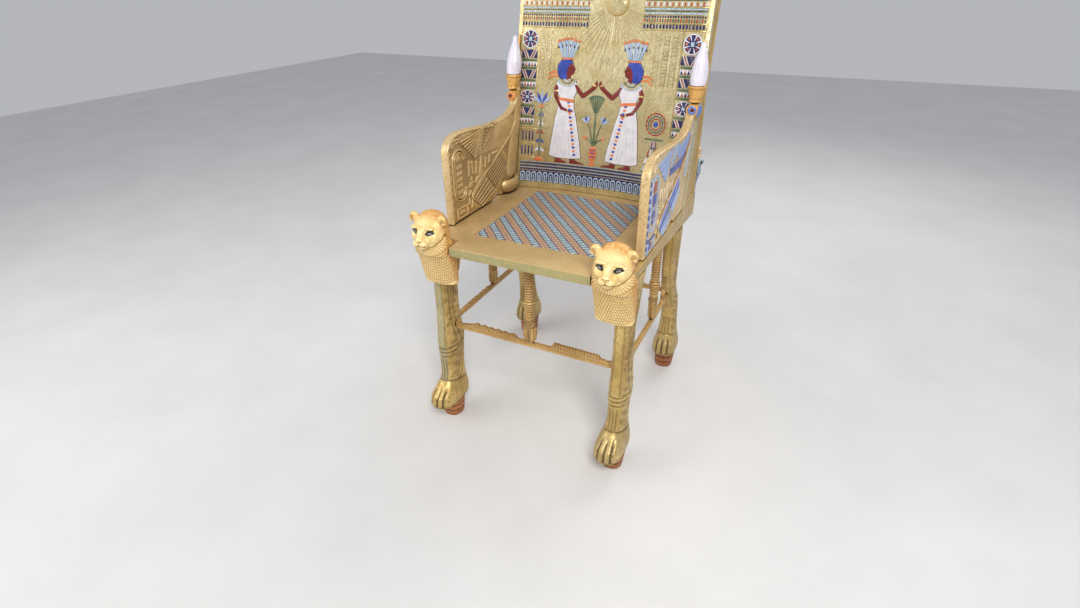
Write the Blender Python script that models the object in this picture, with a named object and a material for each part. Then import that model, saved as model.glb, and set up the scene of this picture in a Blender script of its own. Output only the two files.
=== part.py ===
"""A gilded wooden throne with lion legs, lion heads and winged serpent arms.

Metres, +Z up, front facing -Y. Everything is laid out from the seat's front
face, where Y is 0, and a parent empty then brings the middle of the footprint
to the origin. The seat carries the arms and the leaning back. Lion legs on
ringed drums carry the seat, and thin stretchers tie the legs.
"""
import math

import bmesh
import bpy
from mathutils import Vector

# Seat
SEAT_TOP = 0.517
SEAT_THICK = 0.022
SEAT_HALF = 0.2375
SEAT_REAR = 0.574
INLAY_SIDE_MARGIN = 0.0825
INLAY_FRONT = 0.087
INLAY_REAR_MARGIN = 0.149
INLAY_THICK = 0.003
RAIL_THICK = 0.0125
RAIL_DROP_FRONT = 0.017
RAIL_DROP_REAR = 0.057
REAR_RAIL_THICK = 0.026
REAR_RAIL_DROP = 0.030
EDGE_ROUND = 0.0015

# Back
BACK_TALL = 0.493
BACK_SET_IN = 0.0013
BACK_FROM_REAR = 0.138
BACK_LEAN = 0.2
BACK_THICK = 0.020
BACK_BOW = 0.024
STILE_THICK = 0.020
STILE_LEDGE = 0.014
STILE_TURN = 0.255
STILE_SWEEP = 0.046
STILE_BORDER = 0.008
STILE_RECESS = 0.004
STRUT_WIDE = 0.026
STRUT_DEEP = 0.018
TOP_RAIL_TALL = 0.020
TOP_RAIL_LIP = 0.004

# Legs and drums
LEG_SET_IN = 0.0173
PAW_SET_IN = 0.0193
LEG_WIDE = 0.040
FRONT_LEG_Y = 0.058
FRONT_LEG_DEEP = 0.074
REAR_LEG_FROM_REAR = 0.084
REAR_LEG_DEEP = 0.060
TOE_DEEP = 0.0055
DRUM_TALL = 0.056
DRUM_HALF_X = 0.031
DRUM_HALF_Y = 0.034
DRUM_GROOVE = 0.003
DRUM_TAPER = 0.80
FRONT_DRUM_FORWARD = 0.022
REAR_DRUM_BACKWARD = 0.006

# Lion heads
HEAD_SET_IN = 0.0195
HEAD_BACK = 0.045
MANE_DROP = 0.110
MANE_HALF = 0.046
MANE_FULLEST = 1.02
MANE_CURVE = 0.018
NOTCH_MARGIN = 0.005
HEAD_TALL = 0.186
EAR_WIDE = 0.013
EAR_TALL = 0.014
EAR_DEEP = 0.007

# Arms, with the places on them given from the front edge or the top
ARM_THICK = 0.018
ARM_SET_IN = 0.0006
ARM_FRONT = 0.110
ARM_TALL = 0.213
ARM_CORNER = 0.042
ARM_SADDLE = 0.012
ARM_RELIEF = 0.0022
FEATHER_ROOT_WIDE = 0.013
FEATHER_TIP_WIDE = 0.012
PLATE_BACK = 0.049
PLATE_DROP = 0.101
PLATE_HALF_Y = 0.023
PLATE_HALF_Z = 0.062
COIL_FORWARD = 0.045
COIL_HALF_Y = 0.037
COIL_HALF_Z = 0.021
COIL_NOTCH = 0.060
NECK_RISE = 0.030
SERPENT_SET_IN = 0.0035
SERPENT_HALF = 0.016
SERPENT_TALL = 0.036

# Crowns
CROWN_CUP_TALL = 0.035
CROWN_CUP_BOTTOM = 0.0155
CROWN_CUP_TOP = 0.0225
CROWN_TALL = 0.092
CROWN_RADIUS = 0.0205
SPIKE_TALL = 0.092
SPIKE_WIDE = 0.008
SPIKE_DEEP = 0.005

# Stretchers, uprights and what is left of the openwork between them
STRETCHER_Z = 0.270
STRETCHER_TALL = 0.012
STRETCHER_DEEP = 0.011
UPRIGHT_RADIUS = 0.0105
UPRIGHT_LOBE = 0.019
SIDE_UPRIGHT_SHARE = 0.497
REMNANT_TALL = 0.014
BEADS = 7
BEAD_TALL = 0.004
STEM_WIDE = 0.008
STEM_TALL = 0.070

# Rear cobras
OUTER_COBRA_SHARE = 1.017
INNER_COBRA_SHARE = 0.341
COBRA_TALL = 0.105
COBRA_HOOD = 0.017
COBRA_DEEP = 0.011
COBRA_DISC = 0.010
COBRA_LEAN = 2.6

# Clearance between pieces that touch, and how finely round shapes are cut
GAP = 0.0003
LEG_SIDES = 18
HEAD_SIDES = 22
TURNED_SIDES = 12
SMALL_SIDES = 10

# What follows from the sizes above
SEAT_UNDER = SEAT_TOP - SEAT_THICK
SEAT_ON = SEAT_TOP + GAP
RAIL_OUTER = SEAT_HALF + GAP + RAIL_THICK
INLAY_HALF = SEAT_HALF - INLAY_SIDE_MARGIN
INLAY_REAR = SEAT_REAR - INLAY_REAR_MARGIN
BACK_TOP = SEAT_TOP + BACK_TALL
BACK_HALF = RAIL_OUTER - BACK_SET_IN
BACK_FRONT = SEAT_REAR - BACK_FROM_REAR
STILE_REAR = SEAT_REAR - STILE_LEDGE
LEG_X = RAIL_OUTER - LEG_SET_IN
PAW_X = RAIL_OUTER - PAW_SET_IN
REAR_LEG_Y = SEAT_REAR - REAR_LEG_FROM_REAR
HEAD_X = SEAT_HALF - HEAD_SET_IN
MANE_BOTTOM = SEAT_TOP - MANE_DROP
ARM_OUTER = RAIL_OUTER - ARM_RELIEF - ARM_SET_IN
BOW_HALF = ARM_OUTER - ARM_THICK - ARM_RELIEF
ARM_TOP = SEAT_TOP + ARM_TALL
SERPENT_X = ARM_OUTER - SERPENT_SET_IN
SERPENT_Z = ARM_TOP + NECK_RISE
CROWN_FOOT = SERPENT_Z + 0.5 * SERPENT_TALL + GAP
SIDE_UPRIGHT_Y = SIDE_UPRIGHT_SHARE * SEAT_REAR


def clear_scene():
    for item in list(bpy.data.objects):
        bpy.data.objects.remove(item, do_unlink=True)


def make_material(name, colour, roughness, metallic):
    made = bpy.data.materials.new(name)
    made.use_nodes = True
    shader = made.node_tree.nodes["Principled BSDF"]
    shader.inputs["Base Color"].default_value = (*colour, 1.0)
    shader.inputs["Roughness"].default_value = roughness
    shader.inputs["Metallic"].default_value = metallic
    return made


def add_piece(name, mesh_data, material, smooth_angle=None):
    """Turns a bmesh into a named piece of the throne."""
    bmesh.ops.recalc_face_normals(mesh_data, faces=mesh_data.faces)
    if mesh_data.calc_volume(signed=True) < 0.0:
        bmesh.ops.reverse_faces(mesh_data, faces=mesh_data.faces)
    mesh = bpy.data.meshes.new(name)
    mesh_data.to_mesh(mesh)
    mesh_data.free()
    mesh.materials.append(material)
    if smooth_angle is not None:
        mesh.shade_smooth()
        mesh.set_sharp_from_angle(angle=math.radians(smooth_angle))
    piece = bpy.data.objects.new(name, mesh)
    bpy.context.scene.collection.objects.link(piece)
    piece.parent = FRAME
    return piece


def round_edges(piece, width, segments=1):
    bevel = piece.modifiers.new("rounded edges", "BEVEL")
    bevel.width = width
    bevel.segments = segments
    bevel.limit_method = "ANGLE"
    bevel.angle_limit = math.radians(40)


def join_by_union(piece, other):
    """Grows the piece by another closed shape, which becomes a guide."""
    other.hide_render = True
    other.display_type = "WIRE"
    other.hide_set(True)
    union = piece.modifiers.new("union with " + other.name, "BOOLEAN")
    union.operation = "UNION"
    union.solver = "EXACT"
    union.object = other


def prism(outline, low, high, axis="X"):
    """A closed prism: the outline's two coordinates, drawn between low and high."""
    def place(pair, depth):
        if axis == "X":
            return (depth, pair[0], pair[1])
        if axis == "Y":
            return (pair[0], depth, pair[1])
        return (pair[0], pair[1], depth)

    made = bmesh.new()
    first = [made.verts.new(place(pair, low)) for pair in outline]
    second = [made.verts.new(place(pair, high)) for pair in outline]
    made.faces.new(first)
    made.faces.new(list(reversed(second)))
    count = len(outline)
    for i in range(count):
        made.faces.new((first[i], first[(i + 1) % count], second[(i + 1) % count], second[i]))
    return made


def block(low, high):
    outline = ((low[0], low[1]), (high[0], low[1]), (high[0], high[1]), (low[0], high[1]))
    return prism(outline, low[2], high[2], "Z")


def skin(rings):
    """A closed loft through rings of equally many points, capped at both ends."""
    made = bmesh.new()
    rows = [[made.verts.new(point) for point in ring] for ring in rings]
    count = len(rows[0])
    for lower, upper in zip(rows, rows[1:]):
        for i in range(count):
            j = (i + 1) % count
            made.faces.new((lower[i], lower[j], upper[j], upper[i]))
    made.faces.new(list(reversed(rows[0])))
    made.faces.new(rows[-1])
    return made


def soft_ring(middle, half_x, half_y, z, squareness, sides):
    """A flat ring between an ellipse (squareness 2) and a box (large values)."""
    power = 2.0 / squareness
    ring = []
    for i in range(sides):
        turn = 2.0 * math.pi * (i + 0.5) / sides
        c = math.cos(turn)
        s = math.sin(turn)
        x = middle[0] + half_x * math.copysign(abs(c) ** power, c)
        y = middle[1] + half_y * math.copysign(abs(s) ** power, s)
        ring.append(Vector((x, y, z)))
    return ring


def crown_shape(profile, foot):
    """A turned shape from (across, radius, height) that leans with the back."""
    rings = []
    for across, radius, height in profile:
        z = foot + height
        y = back_edge_y(z) - SPIKE_DEEP - 4.0 * GAP - CROWN_RADIUS
        rings.append(soft_ring((across, y), radius, radius, z, 2.0, TURNED_SIDES))
    return skin(rings)


def read_stations(stations, at):
    """Reads a list of (place, values...) stations with straight runs between them."""
    if at <= stations[0][0]:
        return stations[0][1:]
    for low, high in zip(stations, stations[1:]):
        if at <= high[0]:
            share = (at - low[0]) / (high[0] - low[0])
            return tuple(a + (b - a) * share for a, b in zip(low[1:], high[1:]))
    return stations[-1][1:]


# Back panel surface

def back_edge_y(z):
    """Front face of the leaning back along its two edges."""
    return BACK_FRONT + BACK_LEAN * (z - SEAT_TOP)


def back_front_y(x, z):
    """Front face of the back, hollowed towards the middle of its foot."""
    share = (z - SEAT_TOP) / (BACK_TOP - SEAT_TOP)
    inward = max(0.0, 1.0 - (x / BOW_HALF) ** 2)
    return back_edge_y(z) + BACK_BOW * (1.0 - share) * inward


def stile_rear_y(z):
    """Rear edge of the stiles: upright at first, then swept back with the panel."""
    above = max(0.0, z - SEAT_TOP - STILE_TURN)
    return STILE_REAR + STILE_SWEEP * above / (BACK_TOP - SEAT_TOP - STILE_TURN)


# Legs

# Height share, front and back as shares of the leg's depth from its axis,
# width share, squareness, and how far the axis has moved to the paw's.
FRONT_STATIONS = (
    (0.000, -1.22, 0.36, 1.66, 3.2, 1.00),
    (0.030, -1.28, 0.40, 1.74, 3.0, 1.00),
    (0.068, -1.24, 0.42, 1.68, 2.8, 1.00),
    (0.100, -1.02, 0.42, 1.50, 2.6, 0.90),
    (0.135, -0.76, 0.43, 1.24, 2.4, 0.70),
    (0.190, -0.63, 0.46, 1.10, 2.3, 0.45),
    (0.270, -0.62, 0.53, 1.10, 2.4, 0.20),
    (0.300, -0.58, 0.55, 1.10, 2.4, 0.10),
    (0.400, -0.62, 0.64, 1.18, 2.4, 0.00),
    (0.480, -0.56, 0.56, 1.06, 2.5, 0.00),
    (0.600, -0.49, 0.47, 1.00, 2.6, 0.00),
    (0.740, -0.47, 0.52, 1.00, 2.6, 0.00),
    (0.900, -0.44, 0.98, 0.92, 2.6, 0.00),
    (1.000, -0.42, 1.40, 0.88, 2.8, 0.00),
)

REAR_STATIONS = (
    (0.000, -0.64, 0.84, 1.66, 3.2, 1.00),
    (0.030, -0.70, 0.88, 1.74, 3.0, 1.00),
    (0.068, -0.68, 0.88, 1.68, 2.8, 1.00),
    (0.100, -0.58, 0.82, 1.52, 2.6, 0.90),
    (0.150, -0.46, 0.70, 1.28, 2.4, 0.60),
    (0.250, -0.47, 0.58, 1.12, 2.3, 0.20),
    (0.360, -0.56, 0.50, 1.06, 2.3, 0.00),
    (0.420, -0.76, 0.36, 1.04, 2.3, 0.00),
    (0.480, -0.98, -0.02, 0.98, 2.4, 0.00),
    (0.560, -1.30, -0.32, 0.94, 2.4, 0.00),
    (0.680, -1.62, -0.24, 0.92, 2.5, 0.00),
    (0.820, -1.74, -0.12, 0.92, 2.6, 0.00),
    (1.000, -1.62, -0.10, 0.90, 2.8, 0.00),
)

TOE_TOP = 0.105
TOES = 4
LEG_STEP = 0.012
DRUM_RINGS = (0.30, 0.62)
RING_HALF = 0.05


def toe_shape(across, share):
    """How far a toe stands out in front, for a place across the paw from -1 to 1."""
    fade = max(0.0, 1.0 - share / TOE_TOP)
    return TOE_DEEP * fade * abs(math.cos(0.5 * math.pi * TOES * across))


def leg_ring(stations, axis_y, deep, side, share, z, front_limit, side_limit):
    front, back, wide, square, to_paw = read_stations(stations, share)
    low_y = max(axis_y + deep * front, front_limit)
    high_y = axis_y + deep * back
    axis_x = LEG_X + (PAW_X - LEG_X) * to_paw
    inner_x = axis_x - 0.5 * LEG_WIDE * wide
    outer_x = min(axis_x + 0.5 * LEG_WIDE * wide, side_limit)
    middle = (side * 0.5 * (inner_x + outer_x), 0.5 * (low_y + high_y))
    half_x = 0.5 * (outer_x - inner_x)
    ring = soft_ring(middle, half_x, 0.5 * (high_y - low_y), z, square, LEG_SIDES)
    for point in ring:
        if point.y < middle[1]:
            point.y -= toe_shape((point.x - middle[0]) / half_x, share)
    return ring


def rail_under_z(y):
    """Underside of the side rails, which get deeper towards the rear."""
    front = HEAD_BACK + GAP
    share = (y - front) / (SEAT_REAR - front)
    return SEAT_TOP - RAIL_DROP_FRONT - (RAIL_DROP_REAR - RAIL_DROP_FRONT) * share


def add_leg(name, side, axis_y, deep, stations, material, behind_mane):
    """A lion's leg from its drum to the seat, behind the mane and inside the rail."""
    foot = DRUM_TALL + GAP
    top = SEAT_UNDER - GAP
    tall = top - foot
    rail_z = rail_under_z(axis_y + deep * stations[-1][2]) - GAP
    mane_z = MANE_BOTTOM - GAP if behind_mane else top
    levels = [foot + tall * station[0] for station in stations]
    for z in {rail_z, mane_z} - {top}:
        levels = [level for level in levels if level == top or abs(level - z) > LEG_STEP]
        levels += [z - GAP, z]
    rings = []
    for z in sorted(levels):
        front_limit = HEAD_BACK + GAP if behind_mane and z >= mane_z else -math.inf
        side_limit = SEAT_HALF if z >= rail_z else math.inf
        share = (z - foot) / tall
        rings.append(leg_ring(stations, axis_y, deep, side, share, z, front_limit, side_limit))
    return add_piece(name, skin(rings), material, 35)


def add_drum(name, side, axis_y, material):
    """The ringed drum under a paw, flat above and below."""
    rings = []
    profile = [(0.0, 0.0)]
    for share in DRUM_RINGS:
        profile += [(share - RING_HALF, 0.0), (share, DRUM_GROOVE), (share + RING_HALF, 0.0)]
    profile.append((1.0, 0.0))
    for share, cut in profile:
        grow = DRUM_TAPER + (1.0 - DRUM_TAPER) * share
        half_x = DRUM_HALF_X * grow - cut
        half_y = DRUM_HALF_Y * grow - cut
        rings.append(soft_ring((side * PAW_X, axis_y), half_x, half_y, DRUM_TALL * share, 2.4, TURNED_SIDES))
    return add_piece(name, skin(rings), material, 30)


# Lion heads

# Height share, front (as a share of the mane's half width before the seat's
# front face), back share of HEAD_BACK, width share and squareness. The mane's
# widths are given by how much slimmer they are than its fullest.
HEAD_STATIONS = (
    (0.000, -0.34, 1.00, MANE_FULLEST - 0.16, 3.6),
    (0.020, -0.28, 1.00, MANE_FULLEST - 0.11, 3.6),
    (0.130, -0.18, 1.00, MANE_FULLEST - 0.09, 3.4),
    (0.290, 0.00, 1.00, MANE_FULLEST - 0.07, 3.2),
    (0.450, 0.22, 1.00, MANE_FULLEST - 0.05, 2.8),
    (0.480, 0.42, 1.00, MANE_FULLEST - 0.02, 2.5),
    (0.560, 0.46, 1.02, MANE_FULLEST, 2.3),
    (0.600, 0.62, 1.05, MANE_FULLEST - 0.03, 2.1),
    (0.640, 0.88, 1.06, 0.95, 2.0),
    (0.700, 0.98, 1.08, 0.91, 2.0),
    (0.750, 0.94, 1.10, 0.90, 2.0),
    (0.800, 0.74, 1.08, 0.88, 2.0),
    (0.860, 0.56, 1.02, 0.84, 2.0),
    (0.920, 0.30, 0.92, 0.72, 2.0),
    (0.970, 0.00, 0.76, 0.50, 2.0),
    (1.000, -0.22, 0.54, 0.16, 2.0),
)

# Centre across, before the seat and up from the mane's foot, radius, and the
# push across, forward and up, all as shares of the head's height.
HEAD_PUSHES = (
    (0.00, 0.270, 0.715, 0.120, 0.000, 0.030, 0.000),
    (0.12, 0.160, 0.795, 0.070, 0.000, -0.045, 0.000),
    (0.11, 0.150, 0.860, 0.070, 0.000, 0.022, 0.006),
    (0.20, 0.050, 0.700, 0.110, 0.018, 0.015, 0.000),
    (0.00, 0.160, 0.600, 0.060, 0.000, -0.015, 0.000),
)


def head_points(rings, side):
    """Pushes a stack of head rings into muzzle, eye hollows, brows and cheeks."""
    middle = side * HEAD_X
    for across, forward, up, radius, push_x, push_y, push_z in HEAD_PUSHES:
        for hand in ((-1, 1) if across else (1,)):
            centre = Vector((middle + hand * across * HEAD_TALL, -forward * HEAD_TALL,
                             MANE_BOTTOM + up * HEAD_TALL))
            push = Vector((hand * push_x, -push_y, push_z)) * HEAD_TALL
            for ring in rings:
                for point in ring:
                    near = (point - centre).length / (radius * HEAD_TALL)
                    if near < 1.0:
                        point += push * (1.0 - near * near) ** 2


def add_lion_head(name, side, material):
    rings = []
    for share, front, back, wide, square in HEAD_STATIONS:
        low_y = -front * MANE_HALF
        high_y = HEAD_BACK * back
        z = MANE_BOTTOM + HEAD_TALL * share
        middle = (side * HEAD_X, 0.5 * (low_y + high_y))
        ring = soft_ring(middle, MANE_HALF * wide, 0.5 * (high_y - low_y), z, square, HEAD_SIDES)
        if share == 0.0:
            for point in ring:
                corner = abs(point.x - middle[0]) / MANE_HALF
                point.z += MANE_CURVE * corner ** 3
        rings.append(ring)
    head_points(rings, side)
    # Up to just above the seat's top the head stays inside the board's notch.
    reach = MANE_HALF * MANE_FULLEST
    for ring in rings:
        for point in ring:
            if point.z < SEAT_TOP + NOTCH_MARGIN:
                point.y = min(point.y, HEAD_BACK)
                across = point.x - side * HEAD_X
                point.x = side * HEAD_X + max(-reach, min(reach, across))
    head = add_piece(name, skin(rings), material, 40)
    for hand in (-1, 1):
        ear = bmesh.new()
        bmesh.ops.create_icosphere(ear, subdivisions=2, radius=1.0)
        bmesh.ops.scale(ear, vec=(EAR_WIDE, EAR_DEEP, EAR_TALL), verts=ear.verts)
        place = (side * HEAD_X + hand * 0.80 * MANE_HALF, 0.0, MANE_BOTTOM + 0.92 * HEAD_TALL)
        bmesh.ops.translate(ear, vec=place, verts=ear.verts)
        guide = add_piece(name + "_ear_guide_" + ("inner" if hand == -side else "outer"), ear, material)
        join_by_union(head, guide)
    return head


# Arms

def arc(middle, radius_y, radius_z, start, end, steps):
    points = []
    for i in range(steps + 1):
        turn = math.radians(start + (end - start) * i / steps)
        points.append((middle[0] + radius_y * math.cos(turn), middle[1] + radius_z * math.sin(turn)))
    return points


def arm_outline():
    """The arm seen from the side: flat foot, round front corner, rising neck."""
    corner_y = 1.4 * ARM_CORNER
    outline = [(ARM_FRONT, SEAT_ON)]
    outline += arc((ARM_FRONT + corner_y, ARM_TOP - ARM_CORNER), corner_y, ARM_CORNER, 180, 90, 6)
    neck = serpent_y() - 0.5 * SERPENT_TALL
    saddle = 0.72 * neck + 0.28 * ARM_FRONT
    outline.append((0.5 * (saddle + ARM_FRONT + corner_y), ARM_TOP - 0.6 * ARM_SADDLE))
    outline.append((saddle, ARM_TOP - ARM_SADDLE))
    outline.append((0.45 * saddle + 0.55 * neck, ARM_TOP - 0.5 * ARM_SADDLE))
    outline.append((neck - 0.16 * SERPENT_TALL, ARM_TOP + 0.35 * NECK_RISE))
    outline.append((neck + 0.11 * SERPENT_TALL, SERPENT_Z))
    crest = SERPENT_Z + 0.1 * SERPENT_TALL
    outline.append((back_edge_y(crest) - GAP, crest))
    outline.append((back_edge_y(SEAT_ON) - GAP, SEAT_ON))
    # The see-through notch between the coil and the wing's lower tip
    coil = back_edge_y(SEAT_ON) - COIL_FORWARD - 1.1 * COIL_HALF_Y
    outline += [(coil, SEAT_ON), (coil - 0.1 * COIL_NOTCH, SEAT_ON + 0.3 * COIL_NOTCH), (coil - COIL_NOTCH, SEAT_ON)]
    return outline


def arm_strip(start, end, start_wide, end_wide, low, high):
    """A raised straight strip on the arm, from start to end in (y, z)."""
    run = Vector((end[0] - start[0], end[1] - start[1]))
    across = Vector((-run.y, run.x)).normalized()
    corners = []
    for point, wide in ((start, -start_wide), (end, -end_wide), (end, end_wide), (start, start_wide)):
        corners.append((point[0] + across.x * 0.5 * wide, point[1] + across.y * 0.5 * wide))
    return prism(corners, low, high)


def arm_oval(middle, half_y, half_z, low, high, sides=14):
    outline = arc(middle, half_y, half_z, 0, 360 - 360 / sides, sides - 1)
    return prism(outline, low, high)


# Upper and lower fan of the wing: how many feathers, then the first root, last
# root, first tip and last tip, back from the arm's front edge and down from its
# top, all as shares of the arm's height.
WING_FANS = (
    (4, (1.32, 0.10), (1.20, 0.34), (0.27, 0.13), (0.55, 0.33)),
    (3, (1.30, 0.40), (1.32, 0.56), (0.45, 0.76), (0.64, 0.87)),
)
SERPENT_SHAPE = 0.55


def wing_layout():
    """Feather lines of the wing's two fans as (root, tip) pairs on the arm, in (y, z)."""
    rows = []
    for feathers, first_root, last_root, first_tip, last_tip in WING_FANS:
        for i in range(feathers):
            share = i / (feathers - 1)
            ends = []
            for first, last in ((first_root, last_root), (first_tip, last_tip)):
                back = first[0] + (last[0] - first[0]) * share
                down = first[1] + (last[1] - first[1]) * share
                ends.append((ARM_FRONT + back * ARM_TALL, ARM_TOP - down * ARM_TALL))
            rows.append(tuple(ends))
    return rows


def add_arm(name, side, material):
    inner = side * (ARM_OUTER - ARM_THICK)
    outer = side * ARM_OUTER
    low = min(inner, outer)
    high = max(inner, outer)
    arm = add_piece(name, prism(arm_outline(), low, high), material, 30)
    # Every relief shape runs through the board and stands out on both faces.
    proud_low = low - ARM_RELIEF
    proud_high = high + ARM_RELIEF
    shapes = []
    for root, tip in wing_layout():
        shapes.append(arm_strip(root, tip, FEATHER_ROOT_WIDE, FEATHER_TIP_WIDE, proud_low, proud_high))
    plate = (ARM_FRONT + PLATE_BACK, ARM_TOP - PLATE_DROP)
    shapes.append(arm_oval(plate, PLATE_HALF_Y, PLATE_HALF_Z, proud_low, proud_high))
    coil = (back_edge_y(SEAT_ON) - COIL_FORWARD, SEAT_ON + 1.05 * COIL_HALF_Z)
    shapes.append(arm_oval(coil, COIL_HALF_Y, COIL_HALF_Z, proud_low, proud_high))
    for index, shape in enumerate(shapes):
        guide = add_piece(f"{name}_relief_guide_{index}", shape, material)
        join_by_union(arm, guide)
    face = bmesh.new()
    bmesh.ops.create_uvsphere(face, u_segments=14, v_segments=8, radius=1.0)
    half = (SERPENT_HALF, SERPENT_SHAPE * SERPENT_TALL, 0.5 * SERPENT_TALL)
    bmesh.ops.scale(face, vec=half, verts=face.verts)
    bmesh.ops.translate(face, vec=(side * SERPENT_X, serpent_y(), SERPENT_Z), verts=face.verts)
    guide = add_piece(name + "_serpent_guide", face, material)
    join_by_union(arm, guide)
    return arm


def serpent_y():
    """Middle of the serpent's head, which almost touches the leaning back."""
    return back_edge_y(SERPENT_Z) - SERPENT_SHAPE * SERPENT_TALL - 2.0 * GAP


def add_crown_cup(name, side, material):
    """The gold crown: a flared cup on the serpent's head and a tall spike behind."""
    x = side * SERPENT_X
    profile = (
        (x, CROWN_CUP_BOTTOM, 0.0),
        (x, CROWN_CUP_BOTTOM * 1.02, 0.35 * CROWN_CUP_TALL),
        (x, CROWN_CUP_TOP, CROWN_CUP_TALL),
    )
    piece = add_piece(name, crown_shape(profile, CROWN_FOOT), material, 40)
    rings = []
    for up, wide in ((0.45 * CROWN_CUP_TALL, 1.0), (CROWN_CUP_TALL, 1.0), (CROWN_CUP_TALL + SPIKE_TALL, 0.6)):
        z = CROWN_FOOT + up
        rear = back_edge_y(z) - 2.0 * GAP
        front = rear - SPIKE_DEEP
        if up < CROWN_CUP_TALL:
            front = serpent_y() + CROWN_CUP_BOTTOM - 0.6 * SPIKE_DEEP
        half_x = 0.5 * SPIKE_WIDE * wide
        ring = [(x - half_x, front, z), (x + half_x, front, z), (x + half_x, rear, z), (x - half_x, rear, z)]
        rings.append(ring)
    guide = add_piece(name + "_spike_guide", skin(rings), material)
    join_by_union(piece, guide)
    return piece


def add_crown_bulb(name, side, material):
    """The white crown: a tall bulb that narrows to a small round knob."""
    shares = (
        (0.92, 0.00), (0.99, 0.16), (0.98, 0.34), (0.84, 0.52), (0.60, 0.70),
        (0.40, 0.84), (0.35, 0.92), (0.31, 0.97), (0.14, 1.00),
    )
    profile = [(side * SERPENT_X, CROWN_RADIUS * wide, CROWN_TALL * up) for wide, up in shares]
    return add_piece(name, crown_shape(profile, CROWN_FOOT + CROWN_CUP_TALL + GAP), material, 50)


# Seat, back and rear

def add_seat(material):
    """The seat board, notched for the lions' manes and recessed for the inlay."""
    notch_x = HEAD_X - MANE_HALF * MANE_FULLEST - GAP
    notch_y = HEAD_BACK + GAP
    outline = []
    for side in (-1, 1):
        corner = [
            (side * notch_x, 0.0),
            (side * notch_x, notch_y),
            (side * SEAT_HALF, notch_y),
            (side * SEAT_HALF, SEAT_REAR),
        ]
        outline += corner if side == 1 else list(reversed(corner))
    seat = add_piece("seat_board", prism(outline, SEAT_UNDER, SEAT_TOP, "Z"), material)
    recess = add_piece(
        "inlay_recess_cutter",
        block((-INLAY_HALF, INLAY_FRONT, SEAT_TOP - INLAY_THICK), (INLAY_HALF, INLAY_REAR, SEAT_TOP + 0.01)),
        material)
    recess.hide_render = True
    recess.display_type = "WIRE"
    recess.hide_set(True)
    cut = seat.modifiers.new("inlay recess", "BOOLEAN")
    cut.operation = "DIFFERENCE"
    cut.solver = "EXACT"
    cut.object = recess
    return seat


def add_inlay(material):
    low = (-INLAY_HALF + GAP, INLAY_FRONT + GAP, SEAT_TOP - INLAY_THICK + GAP)
    high = (INLAY_HALF - GAP, INLAY_REAR - GAP, SEAT_TOP)
    return add_piece("seat_inlay", block(low, high), material)


def add_side_rail(name, side, material):
    """The rail along the seat's side, deeper towards the rear."""
    front = HEAD_BACK + GAP
    outline = (
        (front, rail_under_z(front)),
        (SEAT_REAR, rail_under_z(SEAT_REAR)),
        (SEAT_REAR, SEAT_TOP),
        (front, SEAT_TOP),
    )
    near = side * (SEAT_HALF + GAP)
    far = side * RAIL_OUTER
    rail = add_piece(name, prism(outline, min(near, far), max(near, far)), material)
    round_edges(rail, EDGE_ROUND)
    return rail


def add_rear_rail(material):
    """The rail under the seat's rear edge, behind the rear legs."""
    low = (-SEAT_HALF, SEAT_REAR - REAR_RAIL_THICK, SEAT_UNDER - GAP - REAR_RAIL_DROP)
    high = (SEAT_HALF, SEAT_REAR, SEAT_UNDER - GAP)
    rail = add_piece("seat_rail_rear", block(low, high), material)
    round_edges(rail, EDGE_ROUND)
    return rail


def add_back_panel(material):
    """The leaning panel of even thickness, hollowed towards its foot."""
    levels = [SEAT_ON, 0.5 * (SEAT_ON + BACK_TOP), BACK_TOP]
    columns = 16
    edges = [-BACK_HALF] + [BOW_HALF * (2.0 * i / columns - 1.0) for i in range(columns + 1)] + [BACK_HALF]
    rings = []
    for z in levels:
        front = [Vector((x, back_front_y(x, z), z)) for x in edges]
        rear = [Vector((x, back_front_y(x, z) + BACK_THICK, z)) for x in reversed(edges)]
        rings.append(front + rear)
    return add_piece("back_panel", skin(rings), material, 30)


def add_stile(name, side, material):
    """The wedge between the leaning panel and the upright rear edge."""
    steps = 5
    turn_z = SEAT_TOP + STILE_TURN
    outline = [(back_edge_y(SEAT_ON) + BACK_THICK + GAP, SEAT_ON)]
    outline.append((stile_rear_y(SEAT_ON), SEAT_ON))
    for i in range(steps + 1):
        z = turn_z + (BACK_TOP - turn_z) * i / steps
        outline.append((stile_rear_y(z), z))
    outline.append((back_edge_y(BACK_TOP) + BACK_THICK + GAP, BACK_TOP))
    outer = side * BACK_HALF
    inner = side * (BACK_HALF - STILE_THICK)
    made = prism(outline, min(outer, inner), max(outer, inner))
    bmesh.ops.recalc_face_normals(made, faces=made.faces)
    fields = [face for face in made.faces if face.normal.x * side > 0.99]
    bmesh.ops.inset_region(made, faces=fields, thickness=STILE_BORDER, use_even_offset=True)
    fields = [face for face in made.faces if face.select or face in fields]
    bmesh.ops.inset_region(made, faces=fields, thickness=0.0, depth=-STILE_RECESS)
    return add_piece(name, made, material)


def add_rear_strut(material):
    """The strut behind the middle of the back, from the seat to the top rail."""
    turn_z = SEAT_TOP + STILE_TURN
    front = []
    rear = []
    for z in (SEAT_ON, turn_z, 0.5 * (turn_z + BACK_TOP), BACK_TOP):
        front.append((stile_rear_y(z) - STRUT_DEEP, z))
        rear.append((stile_rear_y(z), z))
    outline = rear + list(reversed(front))
    strut = add_piece("rear_strut", prism(outline, -0.5 * STRUT_WIDE, 0.5 * STRUT_WIDE), material)
    round_edges(strut, EDGE_ROUND)
    return strut


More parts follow.
